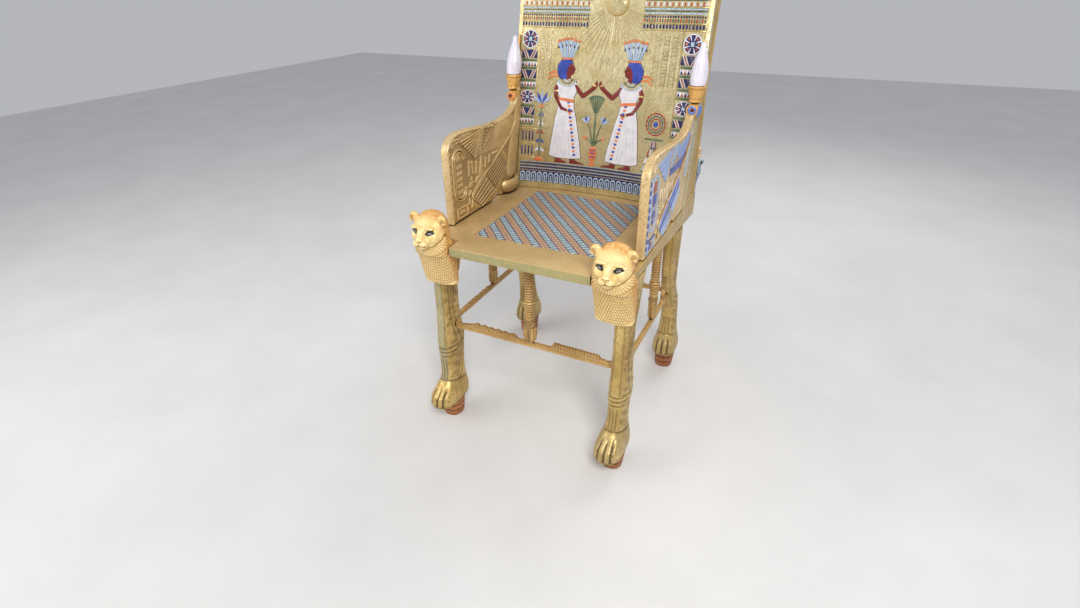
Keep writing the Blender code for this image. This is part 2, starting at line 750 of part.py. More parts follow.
def add_top_rail(material):
    """The rail that ties the panel, stiles and strut together at the top."""
    low_z = BACK_TOP + GAP
    outline = (
        (back_edge_y(low_z) - TOP_RAIL_LIP, low_z),
        (stile_rear_y(BACK_TOP) + TOP_RAIL_LIP, low_z),
        (stile_rear_y(BACK_TOP) + TOP_RAIL_LIP, low_z + TOP_RAIL_TALL),
        (back_edge_y(low_z + TOP_RAIL_TALL) - TOP_RAIL_LIP, low_z + TOP_RAIL_TALL),
    )
    half = BACK_HALF + TOP_RAIL_LIP
    rail = add_piece("top_rail", prism(outline, -half, half), material)
    round_edges(rail, 2.0 * EDGE_ROUND, 2)
    return rail


def add_cobra(name, x, material):
    """A rearing cobra with a sun disc, on the ledge behind the stiles."""
    y = STILE_REAR + GAP + 0.5 * COBRA_DEEP
    half = 0.5 * COBRA_DEEP
    shares = (
        (0.00, 0.56, 1.0, 0.0), (0.12, 0.46, 1.0, 0.0), (0.34, 0.52, 1.0, 0.0),
        (0.58, 0.98, 1.0, 0.0), (0.74, 0.94, 1.0, 0.12), (0.85, 0.56, 1.1, 0.42),
        (0.94, 0.52, 1.3, 0.92), (1.00, 0.40, 1.1, 1.00),
    )
    rings = []
    for up, wide, deep, back in shares:
        z = SEAT_ON + COBRA_TALL * up
        middle = (x, y + COBRA_LEAN * COBRA_DEEP * back)
        rings.append(soft_ring(middle, COBRA_HOOD * wide, half * deep, z, 2.2, SMALL_SIDES))
    cobra = add_piece(name, skin(rings), material, 50)
    disc = bmesh.new()
    bmesh.ops.create_uvsphere(disc, u_segments=SMALL_SIDES, v_segments=5, radius=1.0)
    bmesh.ops.scale(disc, vec=(COBRA_DISC, 0.55 * COBRA_DISC, COBRA_DISC), verts=disc.verts)
    place = (x, y + COBRA_LEAN * COBRA_DEEP, SEAT_ON + COBRA_TALL + 0.82 * COBRA_DISC)
    bmesh.ops.translate(disc, vec=place, verts=disc.verts)
    guide = add_piece(name + "_disc_guide", disc, material)
    join_by_union(cobra, guide)
    return cobra


# Stretchers and uprights

def leg_reach(stations, axis_y, deep, z):
    """Front, back and half width of a leg at a height, for what meets it there."""
    foot = DRUM_TALL + GAP
    share = (z - foot) / (SEAT_UNDER - GAP - foot)
    front, back, wide, square, to_paw = read_stations(stations, share)
    return axis_y + deep * front, axis_y + deep * back, 0.5 * LEG_WIDE * wide


def stretcher_levels():
    return STRETCHER_Z - 0.5 * STRETCHER_TALL, STRETCHER_Z + 0.5 * STRETCHER_TALL


def cross_stretcher_half(stations, axis_y, deep):
    """Half the clear width between the pair of legs at the stretcher's height."""
    levels = stretcher_levels()
    widest = max(leg_reach(stations, axis_y, deep, z)[2] for z in levels)
    return LEG_X - widest - GAP


def cross_stretcher_y(stations, axis_y, deep):
    front, back, half = leg_reach(stations, axis_y, deep, STRETCHER_Z)
    return 0.5 * (front + back)


def front_remnants(half, top):
    """Top edge of the front stretcher with its broken openwork, left to right."""
    edge = [(-half, top + 0.5 * REMNANT_TALL), (-0.94 * half, top)]
    start = -0.75 * half
    bumps = 6
    wide = 0.56 * half / bumps
    for i in range(bumps):
        x = start + i * wide
        tall = REMNANT_TALL * (1.0 - 0.06 * i)
        edge += [(x, top + 0.62 * tall), (x + 0.5 * wide, top + tall)]
    edge += [(start + bumps * wide, top + 0.5 * REMNANT_TALL), (start + 1.05 * bumps * wide, top)]
    edge += [(0.26 * half, top), (0.29 * half, top + REMNANT_TALL), (0.83 * half, top + 0.8 * REMNANT_TALL)]
    edge += [(0.86 * half, top + 0.3 * REMNANT_TALL), (0.93 * half, top + 0.1 * REMNANT_TALL)]
    edge += [(half, top + 0.45 * REMNANT_TALL)]
    return edge


def add_cross_stretcher(name, stations, axis_y, deep, material, remnants):
    low, top = stretcher_levels()
    half = cross_stretcher_half(stations, axis_y, deep)
    y = cross_stretcher_y(stations, axis_y, deep)
    upper = front_remnants(half, top) if remnants else [(-half, top), (half, top)]
    outline = [(half, low), (-half, low)] + upper
    made = prism(outline, y - 0.5 * STRETCHER_DEEP, y + 0.5 * STRETCHER_DEEP, "Y")
    return add_piece(name, made, material, 30)


def add_side_stretcher(name, side, material, stem):
    """A stretcher from the front leg to the rear one, beaded or with a broken stem."""
    low, top = stretcher_levels()
    reach = []
    for z in (low, top):
        reach.append(leg_reach(FRONT_STATIONS, FRONT_LEG_Y, FRONT_LEG_DEEP, z)[1])
    start = max(reach) + GAP
    reach = []
    for z in (low, top):
        reach.append(leg_reach(REAR_STATIONS, REAR_LEG_Y, REAR_LEG_DEEP, z)[0])
    end = min(reach) - GAP
    upper = [(start, top)]
    if stem:
        foot = end - 0.16 * (end - start)
        lean = 0.30 * STEM_TALL
        upper += [
            (foot, top),
            (foot + lean * 0.6, top + 0.62 * STEM_TALL),
            (foot + lean * 0.5, top + STEM_TALL),
            (foot + lean * 0.5 + 0.5 * STEM_WIDE, top + 0.84 * STEM_TALL),
            (foot + lean * 0.5 + STEM_WIDE, top + 0.97 * STEM_TALL),
            (foot + lean * 0.6 + STEM_WIDE, top + 0.60 * STEM_TALL),
            (foot + 1.2 * STEM_WIDE, top),
        ]
    else:
        first = start + 0.08 * (end - start)
        run = (SIDE_UPRIGHT_Y - UPRIGHT_LOBE - BEAD_TALL - first) / BEADS
        for i in range(BEADS):
            upper += [(first + i * run, top), (first + (i + 0.5) * run, top + BEAD_TALL)]
        upper.append((first + BEADS * run, top))
    upper.append((end, top))
    outline = [(end, low), (start, low)] + upper
    x = side * LEG_X
    return add_piece(name, prism(outline, x - 0.5 * STRETCHER_DEEP, x + 0.5 * STRETCHER_DEEP), material, 30)


def add_upright(name, x, y, turned_side, material):
    """A windpipe column with a knot, on two lobes, from stretcher to seat or rail."""
    foot = stretcher_levels()[1] + GAP
    top = (rail_under_z(y + UPRIGHT_LOBE) if turned_side else SEAT_UNDER) - GAP
    tall = top - foot
    shares = (
        (0.00, 0.45, 0.80), (0.05, 0.85, 0.95), (0.13, 1.00, 1.00), (0.21, 0.80, 0.95),
        (0.25, 0.57, 1.00), (0.42, 0.55, 1.00), (0.45, 0.74, 1.30), (0.50, 0.74, 1.30),
        (0.53, 0.55, 1.00), (0.94, 0.55, 1.00), (0.96, 0.70, 1.20), (1.00, 0.70, 1.20),
    )
    rings = []
    for up, wide, deep in shares:
        half_x = UPRIGHT_LOBE * wide
        half_y = UPRIGHT_RADIUS * deep
        if turned_side:
            half_x, half_y = half_y, half_x
        rings.append(soft_ring((x, y), half_x, half_y, foot + tall * up, 2.2, SMALL_SIDES))
    return add_piece(name, skin(rings), material, 40)


def centre_on_floor():
    """Brings the middle of the footprint to the origin and the feet to Z = 0."""
    bpy.context.view_layer.update()
    depsgraph = bpy.context.evaluated_depsgraph_get()
    low = Vector((math.inf,) * 3)
    high = Vector((-math.inf,) * 3)
    for item in bpy.data.objects:
        if item.type != "MESH" or item.hide_render:
            continue
        evaluated = item.evaluated_get(depsgraph)
        mesh = evaluated.to_mesh()
        for vertex in mesh.vertices:
            place = evaluated.matrix_world @ vertex.co
            for axis in range(3):
                low[axis] = min(low[axis], place[axis])
                high[axis] = max(high[axis], place[axis])
        evaluated.to_mesh_clear()
    FRAME.location = (-0.5 * (low.x + high.x), -0.5 * (low.y + high.y), -low.z)
    bpy.context.view_layer.update()


def build_throne():
    gold = make_material("gilded wood", (0.62, 0.47, 0.22), 0.36, 0.8)
    pale_gold = make_material("pale gilding", (0.78, 0.66, 0.40), 0.38, 0.7)
    lion_gold = make_material("bright gilding", (0.85, 0.66, 0.34), 0.34, 0.7)
    stretcher_gold = make_material("worn gilding", (0.76, 0.58, 0.30), 0.42, 0.6)
    inlay = make_material("seat inlay", (0.45, 0.52, 0.60), 0.35, 0.0)
    red_wood = make_material("red-brown drum", (0.38, 0.16, 0.07), 0.5, 0.1)
    white = make_material("white crown", (0.82, 0.80, 0.88), 0.3, 0.0)
    glaze = make_material("blue-grey glaze", (0.45, 0.50, 0.62), 0.3, 0.0)

    add_seat(gold)
    add_inlay(inlay)
    add_rear_rail(gold)
    add_back_panel(pale_gold)
    add_rear_strut(gold)
    add_top_rail(gold)

    for word, side in (("left", -1), ("right", 1)):
        add_side_rail("seat_rail_" + word, side, gold)
        add_leg("leg_front_" + word, side, FRONT_LEG_Y, FRONT_LEG_DEEP, FRONT_STATIONS, gold, True)
        add_leg("leg_rear_" + word, side, REAR_LEG_Y, REAR_LEG_DEEP, REAR_STATIONS, gold, False)
        add_drum("drum_front_" + word, side, FRONT_LEG_Y - FRONT_DRUM_FORWARD, red_wood)
        add_drum("drum_rear_" + word, side, REAR_LEG_Y + REAR_DRUM_BACKWARD, red_wood)
        add_lion_head("lion_head_" + word, side, lion_gold)
        add_arm("arm_" + word, side, gold)
        add_crown_cup("crown_gold_" + word, side, gold)
        add_crown_bulb("crown_white_" + word, side, white)
        add_stile("back_stile_" + word, side, gold)
        add_side_stretcher("stretcher_" + word, side, stretcher_gold, side == 1)
        add_upright("upright_" + word, side * LEG_X, SIDE_UPRIGHT_Y, True, stretcher_gold)
        add_cobra("cobra_outer_" + word, side * OUTER_COBRA_SHARE * SEAT_HALF, glaze)
        add_cobra("cobra_inner_" + word, side * INNER_COBRA_SHARE * SEAT_HALF, glaze)

    add_cross_stretcher("stretcher_front", FRONT_STATIONS, FRONT_LEG_Y, FRONT_LEG_DEEP, stretcher_gold, True)
    add_cross_stretcher("stretcher_rear", REAR_STATIONS, REAR_LEG_Y, REAR_LEG_DEEP, stretcher_gold, False)
    front_y = cross_stretcher_y(FRONT_STATIONS, FRONT_LEG_Y, FRONT_LEG_DEEP)
    rear_y = cross_stretcher_y(REAR_STATIONS, REAR_LEG_Y, REAR_LEG_DEEP)
    add_upright("upright_front", 0.0, front_y, False, stretcher_gold)
    add_upright("upright_rear", 0.0, rear_y, False, stretcher_gold)
    centre_on_floor()


clear_scene()
FRAME = bpy.data.objects.new("throne_frame", None)
bpy.context.scene.collection.objects.link(FRAME)
build_throne()
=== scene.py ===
"""Looks for the gilded throne with lion heads and winged serpent arms."""
import math

import bpy
import numpy as np
from mathutils import Matrix, Vector


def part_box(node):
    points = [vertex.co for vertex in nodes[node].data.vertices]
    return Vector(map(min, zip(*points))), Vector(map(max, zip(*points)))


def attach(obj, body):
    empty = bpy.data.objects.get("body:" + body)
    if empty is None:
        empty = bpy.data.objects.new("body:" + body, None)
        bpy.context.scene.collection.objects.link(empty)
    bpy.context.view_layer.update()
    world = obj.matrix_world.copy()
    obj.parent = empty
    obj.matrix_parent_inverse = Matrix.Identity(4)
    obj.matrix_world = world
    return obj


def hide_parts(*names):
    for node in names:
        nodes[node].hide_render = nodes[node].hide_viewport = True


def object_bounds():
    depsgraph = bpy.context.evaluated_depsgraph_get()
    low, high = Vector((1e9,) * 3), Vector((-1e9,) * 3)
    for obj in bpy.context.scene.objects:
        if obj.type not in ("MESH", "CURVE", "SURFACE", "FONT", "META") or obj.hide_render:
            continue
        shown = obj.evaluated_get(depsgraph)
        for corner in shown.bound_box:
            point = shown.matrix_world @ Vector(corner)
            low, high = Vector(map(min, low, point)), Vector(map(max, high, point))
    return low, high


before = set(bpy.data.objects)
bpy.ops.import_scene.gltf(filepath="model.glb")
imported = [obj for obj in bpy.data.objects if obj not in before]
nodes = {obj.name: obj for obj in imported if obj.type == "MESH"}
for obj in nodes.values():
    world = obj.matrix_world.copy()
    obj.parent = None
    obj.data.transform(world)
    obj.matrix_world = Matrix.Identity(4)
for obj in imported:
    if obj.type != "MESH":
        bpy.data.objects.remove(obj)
cad_low, cad_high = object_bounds()

# Sizes shared with the solids, laid out from the seat's front face
FRONT_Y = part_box("seat_board")[0].y
SEAT_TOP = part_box("seat_board")[1].z
SEAT_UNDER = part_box("seat_board")[0].z
BACK_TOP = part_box("back_panel")[1].z
BACK_FRONT = 0.436
BACK_LEAN = 0.2
BACK_BOW = 0.024
BOW_HALF = 0.2273
ARM_OUTER = 0.2475
ARM_THICK = 0.018
ARM_FRONT = 0.11
ARM_TOP = 0.73
SERPENT_Y = 0.4642
SERPENT_Z = 0.76


# Tools of the bench

def deselect():
    if bpy.context.object is not None and bpy.context.object.mode != "OBJECT":
        bpy.ops.object.mode_set(mode="OBJECT")
    bpy.ops.object.select_all(action="DESELECT")


def pick(piece):
    deselect()
    bpy.context.view_layer.objects.active = piece
    piece.select_set(True)


def edit_all(piece):
    pick(piece)
    bpy.ops.object.mode_set(mode="EDIT")
    bpy.ops.mesh.select_all(action="SELECT")


def leave_edit():
    bpy.ops.object.mode_set(mode="OBJECT")


def copy_of(node, name):
    """A copy of a solid's mesh with its doubles merged, ready for work."""
    piece = bpy.data.objects.new(name, nodes[node].data.copy())
    bpy.context.scene.collection.objects.link(piece)
    piece.data.materials.clear()
    edit_all(piece)
    bpy.ops.mesh.remove_doubles(threshold=0.00002)
    bpy.ops.mesh.tris_convert_to_quads(face_threshold=0.7, shape_threshold=0.7)
    leave_edit()
    return piece


def settle(piece):
    """Applies the piece's modifiers in turn and leaves its place in its mesh."""
    pick(piece)
    for modifier in list(piece.modifiers):
        bpy.ops.object.modifier_apply(modifier=modifier.name)
    bpy.ops.object.transform_apply(location=True, rotation=True, scale=True)


def soften(piece, width, segments=2, angle=35):
    bevel = piece.modifiers.new("soft edges", "BEVEL")
    bevel.width = width
    bevel.segments = segments
    bevel.limit_method = "ANGLE"
    bevel.angle_limit = math.radians(angle)
    settle(piece)


def smooth(piece, angle=40):
    pick(piece)
    bpy.ops.object.shade_smooth_by_angle(angle=math.radians(angle))


def join(parts, name):
    deselect()
    for part in parts:
        part.select_set(True)
    bpy.context.view_layer.objects.active = parts[0]
    if len(parts) > 1:
        bpy.ops.object.join()
    parts[0].name = name
    return parts[0]


def dress(piece, *finishes):
    piece.data.materials.clear()
    for finish in finishes:
        piece.data.materials.append(finish)


def seat_on_frame(piece, slot, *stands_for):
    """Hands a finished piece to the throne in place of its solids."""
    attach(piece, "root")
    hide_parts(*stands_for)


def seat_pair(right, left, slot, name):
    """Hands over a finished piece and its mirrored copy."""
    seat_on_frame(right, slot, name + "_right")
    seat_on_frame(left, slot, name + "_left")

def points_of(piece):
    places = np.empty(len(piece.data.vertices) * 3)
    piece.data.vertices.foreach_get("co", places)
    return places.reshape(-1, 3)


def move_points(piece, places):
    piece.data.vertices.foreach_set("co", places.ravel())
    piece.data.update()


def keep_in_box(places, node):
    """Holds carved points inside the box of their solid."""
    for i, (low, high) in enumerate(zip(*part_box(node))):
        places[:, i] = np.clip(places[:, i], low, high)

def mirror_copy(piece, name):
    """The other side's piece, with its own mesh turned right side out."""
    other = bpy.data.objects.new(name, piece.data.copy())
    bpy.context.scene.collection.objects.link(other)
    places = points_of(other)
    places[:, 0] *= -1.0
    move_points(other, places)
    edit_all(other)
    bpy.ops.mesh.flip_normals()
    leave_edit()
    return other

def face_out(piece):
    edit_all(piece)
    bpy.ops.mesh.normals_make_consistent(inside=False)
    leave_edit()

def back_surface_y(x, z):
    """Front face of the leaning back, in the row's frame."""
    share = (z - SEAT_TOP) / (BACK_TOP - SEAT_TOP)
    inward = np.maximum(0.0, 1.0 - (x / BOW_HALF) ** 2)
    return FRONT_Y + BACK_FRONT + BACK_LEAN * (z - SEAT_TOP) + BACK_BOW * (1.0 - share) * inward


# Finishes

def new_finish(name):
    finish = bpy.data.materials.new(name)
    finish.use_nodes = True
    tree = finish.node_tree
    shader = tree.nodes["Principled BSDF"]
    place = tree.nodes.new("ShaderNodeTexCoord")
    return finish, tree, shader, place.outputs["Object"]


def noise_of(tree, place, scale, detail=4.0, roughness=0.6):
    made = tree.nodes.new("ShaderNodeTexNoise")
    for socket, value in (("Scale", scale), ("Detail", detail), ("Roughness", roughness)):
        made.inputs[socket].default_value = value
    tree.links.new(place, made.inputs["Vector"])
    return made.outputs["Fac"]

def ramp_of(tree, value, stops, stepped=False):
    """Colours along a value, soft or in hard steps."""
    made = tree.nodes.new("ShaderNodeValToRGB")
    ramp = made.color_ramp
    if stepped:
        ramp.interpolation = "CONSTANT"
    while len(ramp.elements) < len(stops):
        ramp.elements.new(0.5)
    for element, (at, colour) in zip(ramp.elements, stops):
        element.position = at
        element.color = (*colour, 1.0)
    tree.links.new(value, made.inputs["Fac"])
    return made.outputs["Color"]

def plug(tree, socket, value):
    """Sets a socket to a number or a colour, or links it."""
    if isinstance(value, (int, float)):
        socket.default_value = value
    elif isinstance(value, tuple):
        socket.default_value = (*value, 1.0)
    else:
        tree.links.new(value, socket)

def mix_of(tree, share, first, second):
    made = tree.nodes.new("ShaderNodeMix")
    made.data_type = "RGBA"
    for i, value in ((0, share), (6, first), (7, second)):
        plug(tree, made.inputs[i], value)
    return made.outputs[2]

def sum_of(tree, operation, first, second=0.0):
    made = tree.nodes.new("ShaderNodeMath")
    made.operation = operation
    for socket, value in zip(made.inputs, (first, second)):
        plug(tree, socket, value)
    return made.outputs[0]

def bump_of(tree, shader, heights):
    """Stacks bumps, each a (height, strength, distance)."""
    normal = None
    for height, strength, distance in heights:
        made = tree.nodes.new("ShaderNodeBump")
        made.inputs["Strength"].default_value = strength
        made.inputs["Distance"].default_value = distance
        tree.links.new(height, made.inputs["Height"])
        if normal is not None:
            tree.links.new(normal, made.inputs["Normal"])
        normal = made.outputs["Normal"]
    tree.links.new(normal, shader.inputs["Normal"])


# Painted shade: ambient occlusion, darker where nearby surfaces shut out light.
def occlusion_shade_of(tree, reach):
    made = tree.nodes.new("ShaderNodeAmbientOcclusion")
    made.inputs["Distance"].default_value = reach
    made.samples = 8
    return made.outputs["AO"]


def shade_of(tree, name):
    """Reads one of the numbers stored at the piece's points."""
    made = tree.nodes.new("ShaderNodeAttribute")
    made.attribute_name = name
    return made.outputs["Fac"]


NONE = (0.0, 0.0, 0.0)
FULL = (1.0, 1.0, 1.0)

def gilded(name, light, deep, painted_shade_colour, metal, roughness, dents, reach=0.006, second=None):
    """Gold leaf over carved wood: cloudy colour, fine dents, and painted shade that darkens its hollows."""
    finish, tree, shader, place = new_finish(name)
    clouds = noise_of(tree, place, 11.0, 5.0, 0.65)
    colour = ramp_of(tree, clouds, ((0.34, deep), (0.62, light)))
    if second is not None:
        other = ramp_of(tree, clouds, ((0.34, tuple(0.8 * part for part in second)), (0.62, second)))
        colour = mix_of(tree, shade_of(tree, "tone"), colour, other)
    flecks = noise_of(tree, place, 180.0, 3.0, 0.7)
    spots = ramp_of(tree, flecks, ((0.36, NONE), (0.5, FULL)))
    wear_and_painted_shade = mix_of(tree, spots, deep, colour)
    # Painted shade: the shade colour is mixed in by ambient occlusion and by each piece's stored hollow
    # shade.
    hollow = ramp_of(tree, occlusion_shade_of(tree, reach), ((0.35, NONE), (0.88, FULL)))
    wear_and_painted_shade = mix_of(tree, shade_of(tree, "hollow"), wear_and_painted_shade, painted_shade_colour)
    tree.links.new(mix_of(tree, hollow, painted_shade_colour, wear_and_painted_shade), shader.inputs["Base Color"])
    shader.inputs["Metallic"].default_value = metal
    dull = noise_of(tree, place, 46.0, 4.0, 0.6)
    sheen = ramp_of(tree, dull, ((0.3, (roughness - 0.1,) * 3), (0.7, (roughness + 0.12,) * 3)))
    tree.links.new(sheen, shader.inputs["Roughness"])
    hammer = noise_of(tree, place, 90.0, 3.0, 0.55)
    bump_of(tree, shader, ((hammer, dents, 0.0012), (flecks, dents * 0.5, 0.0004)))
    return finish

def glazed(name, light, deep, roughness=0.3, mottled=60.0):
    """Glass paste or enamel: even colour with slight clouds and pits."""
    finish, tree, shader, place = new_finish(name)
    clouds = noise_of(tree, place, mottled, 4.0, 0.6)
    tree.links.new(ramp_of(tree, clouds, ((0.32, deep), (0.6, light))), shader.inputs["Base Color"])
    shader.inputs["Roughness"].default_value = roughness
    pits = noise_of(tree, place, mottled * 5.0, 2.0, 0.5)
    bump_of(tree, shader, ((pits, 0.25, 0.0003),))
    return finish

seat_gold = gilded("seat gilding", (0.68, 0.49, 0.245), (0.55, 0.385, 0.17), (0.1, 0.055, 0.02), 0.35, 0.42,
                   0.18,
                   second=(0.42, 0.39, 0.18))
leg_gold = gilded("leg gilding", (0.7, 0.5, 0.19), (0.4, 0.26, 0.075), (0.055, 0.028, 0.008), 0.45, 0.38, 0.3,
                  second=(0.4, 0.42, 0.28))
arm_gold = gilded("antique gilding", (0.72, 0.52, 0.25), (0.55, 0.375, 0.16), (0.1, 0.05, 0.016), 0.4, 0.4,
                  0.2,
                  second=(0.78, 0.58, 0.3))
rim_gold = gilded("bright gilding", (0.8, 0.47, 0.15), (0.64, 0.34, 0.09), (0.14, 0.06, 0.015), 0.35, 0.38,
                  0.2)
stroke_gold = gilded("stroke gilding", (0.74, 0.66, 0.42), (0.6, 0.5, 0.27), (0.34, 0.26, 0.12), 0.5, 0.34,
                     0.2, 0.002)
head_gold = gilded("lion gilding", (0.95, 0.77, 0.38), (0.88, 0.62, 0.25), (0.24, 0.1, 0.015), 0.2, 0.38,
                   0.12, 0.006,
                   second=(0.82, 0.42, 0.12))
bar_gold = gilded("stretcher gilding", (0.66, 0.43, 0.17), (0.45, 0.26, 0.08), (0.09, 0.045, 0.015), 0.4,
                  0.45, 0.4)
panel_gold = gilded("back gilding", (0.68, 0.6, 0.36), (0.52, 0.42, 0.2), (0.1, 0.06, 0.02), 0.6, 0.3, 0.8,
                    0.003)
line_gold = gilded("inlay edging", (0.74, 0.56, 0.26), (0.55, 0.38, 0.14), (0.14, 0.08, 0.02), 0.5, 0.35,
                   0.15, 0.003)
rail_gold = gilded("rail gilding", (0.58, 0.42, 0.18), (0.44, 0.3, 0.11), (0.09, 0.05, 0.018), 0.4, 0.42, 0.2)
drum_wood = gilded("drum wood", (0.5, 0.2, 0.065), (0.3, 0.1, 0.032), (0.035, 0.012, 0.006), 0.1, 0.45, 0.4)
blue = glazed("deep blue inlay", (0.035, 0.07, 0.4), (0.02, 0.04, 0.25))
navy = glazed("navy inlay", (0.02, 0.024, 0.13), (0.012, 0.014, 0.075))
sky = glazed("light blue inlay", (0.37, 0.47, 0.68), (0.27, 0.37, 0.6))
periwinkle = glazed("periwinkle inlay", (0.26, 0.36, 0.66), (0.16, 0.25, 0.57))
cream = glazed("cream paste", (0.72, 0.6, 0.4), (0.52, 0.4, 0.22))
pale_blue = glazed("grey blue inlay", (0.42, 0.52, 0.58), (0.3, 0.41, 0.48))
green = glazed("green inlay", (0.1, 0.17, 0.1), (0.05, 0.1, 0.06))
red = glazed("red inlay", (0.42, 0.07, 0.03), (0.28, 0.035, 0.02))
skin = glazed("red-brown inlay", (0.2, 0.02, 0.014), (0.13, 0.01, 0.009), 0.28)
orange = glazed("orange inlay", (0.72, 0.22, 0.07), (0.56, 0.14, 0.04))
robe = glazed("white inlay", (0.72, 0.7, 0.74), (0.6, 0.58, 0.64), 0.35)
black = glazed("black inlay", (0.01, 0.009, 0.01), (0.005, 0.005, 0.006), 0.25)
crown_white = glazed("white crown", (0.74, 0.71, 0.8), (0.66, 0.63, 0.74), 0.25, 25.0)
cobra_glaze = gilded("cobra glaze", (0.26, 0.34, 0.44), (0.18, 0.25, 0.34), (0.03, 0.04, 0.06), 0.1, 0.3,
                     0.1, 0.004,
                     second=(0.7, 0.52, 0.3))
hood_blue = glazed("serpent hood blue", (0.16, 0.25, 0.55), (0.08, 0.14, 0.42), 0.2)
hood_orange = glazed("serpent hood orange", (0.74, 0.3, 0.09), (0.58, 0.18, 0.04), 0.3)
eye_brown = glazed("serpent eye", (0.22, 0.045, 0.02), (0.12, 0.02, 0.01), 0.2)
iris = glazed("eye white", (0.42, 0.42, 0.42), (0.3, 0.3, 0.31), 0.15)


# Shapes cut from sheet and laid on a surface

def cut_sheet(name, loops, thick, finish, edge=0.0003, spread=0.0, rounds=0):
    """Closed loops of (u, v) points as thin plates with chamfered edges."""
    curve = bpy.data.curves.new(name, "CURVE")
    curve.dimensions = "2D"
    curve.fill_mode = "BOTH"
    curve.extrude = max(0.0, 0.5 * thick - edge)
    curve.bevel_depth = edge
    curve.bevel_resolution = rounds
    curve.offset = spread - edge
    for loop in loops:
        spline = curve.splines.new("POLY")
        spline.points.add(len(loop) - 1)
        for point, (u, v) in zip(spline.points, loop):
            point.co = (u, v, 0.0, 1.0)
        spline.use_cyclic_u = True
    plate = bpy.data.objects.new(name, curve)
    bpy.context.scene.collection.objects.link(plate)
    pick(plate)
    bpy.ops.object.convert(target="MESH")
    plate = bpy.context.object
    dress(plate, finish)
    edit_all(plate)
    bpy.ops.mesh.remove_doubles(threshold=0.00001)
    bpy.ops.mesh.normals_make_consistent(inside=False)
    leave_edit()
    return plate


BEND_STEP = 0.02

def lay_on_back(plate, lift):
    """Bends a plate drawn in (x, z) onto the front of the back."""
    places = points_of(plate)
    left = places[:, 0].min()
    right = places[:, 0].max()
    if right - left > 0.03:
        edit_all(plate)
        reach = int(max(abs(left), abs(right)) / BEND_STEP)
        for i in range(-reach, reach + 1):
            bpy.ops.mesh.select_all(action="SELECT")
            bpy.ops.mesh.bisect(plane_co=(i * BEND_STEP, 0.0, 0.0), plane_no=(1.0, 0.0, 0.0))
        leave_edit()
        places = points_of(plate)
    x = places[:, 0].copy()
    z = places[:, 1].copy()
    y = back_surface_y(x, z) - lift - places[:, 2]
    move_points(plate, np.stack((x, y, z), axis=1))
    face_out(plate)
    return plate

def box_loop(x0, z0, x1, z1):
    return [(x0, z0), (x1, z0), (x1, z1), (x0, z1)]


def round_loop(middle, half_x, half_z, steps=20, start=0.0, end=360.0):
    points = []
    for i in range(steps if end - start >= 360.0 else steps + 1):
        turn = math.radians(start + (end - start) * i / steps)
        points.append((middle[0] + half_x * math.cos(turn), middle[1] + half_z * math.sin(turn)))
    return points


def strip_loop(start, end, start_wide, end_wide):
    run = Vector((end[0] - start[0], end[1] - start[1]))
    side = Vector((-run.y, run.x)).normalized()
    loop = []
    for point, wide in ((start, -start_wide), (end, -end_wide), (end, end_wide), (start, start_wide)):
        loop.append((point[0] + 0.5 * wide * side.x, point[1] + 0.5 * wide * side.y))
    return loop


def path_loop(points, wides):
    """A strip of changing width along a bent line."""
    left = []
    right = []
    for i, point in enumerate(points):
        before = points[max(0, i - 1)]
        after = points[min(len(points) - 1, i + 1)]
        run = Vector((after[0] - before[0], after[1] - before[1]))
        side = Vector((-run.y, run.x)).normalized() * 0.5 * wides[i]
        left.append((point[0] + side.x, point[1] + side.y))
        right.append((point[0] - side.x, point[1] - side.y))
    return left + list(reversed(right))


def placed(shape, middle, size, facing=1.0):
    return [(middle[0] + facing * size * u, middle[1] + size * v) for u, v in shape]


# The back

DISC_X = 0.0175
DISC_Z = 0.98
DISC_RADIUS = 0.0275
FLUSH_LIFT = 0.0004
HIGH_LIFT = 0.0012
INLAY_LIFTS = {"skin": 0.0009, "pleat": 0.0007}


def block_row(x0, x1, z0, z1, pitch, share, phase=0):
    """Small upright blocks in a row, every second one for a two-colour row."""
    loops = []
    count = int((x1 - x0) / pitch)
    step = (x1 - x0) / count
    for i in range(count):
        if phase and i % 2 != phase - 1:
            continue
        left = x0 + i * step
        loops.append(box_loop(left, z0, left + step * share, z1))
    return loops


def upper_bands():
    groups = {"green": [], "red": [], "navy": [], "robe": [], "pale_blue": [], "line": []}
    for x0, x1 in ((-0.238, -0.052), (0.087, 0.238)):
        groups["navy"] += block_row(x0, x1, 0.927, 0.9355, 0.0078, 0.58)
        groups["red"] += block_row(x0, x1, 0.941, 0.9475, 0.0062, 0.55, 1)
        groups["green"] += block_row(x0, x1, 0.941, 0.9475, 0.0062, 0.55, 2)
        groups["navy"] += block_row(x0, x1, 0.95, 0.9535, 0.0062, 0.55)
        groups["pale_blue"] += block_row(x0, x1, 0.957, 0.961, 0.0125, 0.9)
        groups["green"] += [box_loop(x0, 0.9632, x1, 0.9648)]
        groups["pale_blue"] += block_row(x0, x1, 0.9665, 0.97, 0.0125, 0.9)
        groups["robe"] += block_row(x0, x1, 0.9745, 0.9825, 0.007, 0.5, 1)
        groups["red"] += block_row(x0, x1, 0.9745, 0.9825, 0.007, 0.4, 2)
        groups["green"] += [box_loop(x0, 0.986, x1, 0.9875)]
        groups["navy"] += block_row(x0, x1, 0.991, 0.9985, 0.0078, 0.58, 1)
        groups["red"] += block_row(x0, x1, 0.991, 0.9985, 0.0078, 0.58, 2)
        for z in (0.9238, 0.9382, 0.9552, 0.9722, 0.9893, 1.0018):
            groups["line"].append(box_loop(x0 - 0.001, z - 0.0008, x1 + 0.001, z + 0.0008))
    return groups


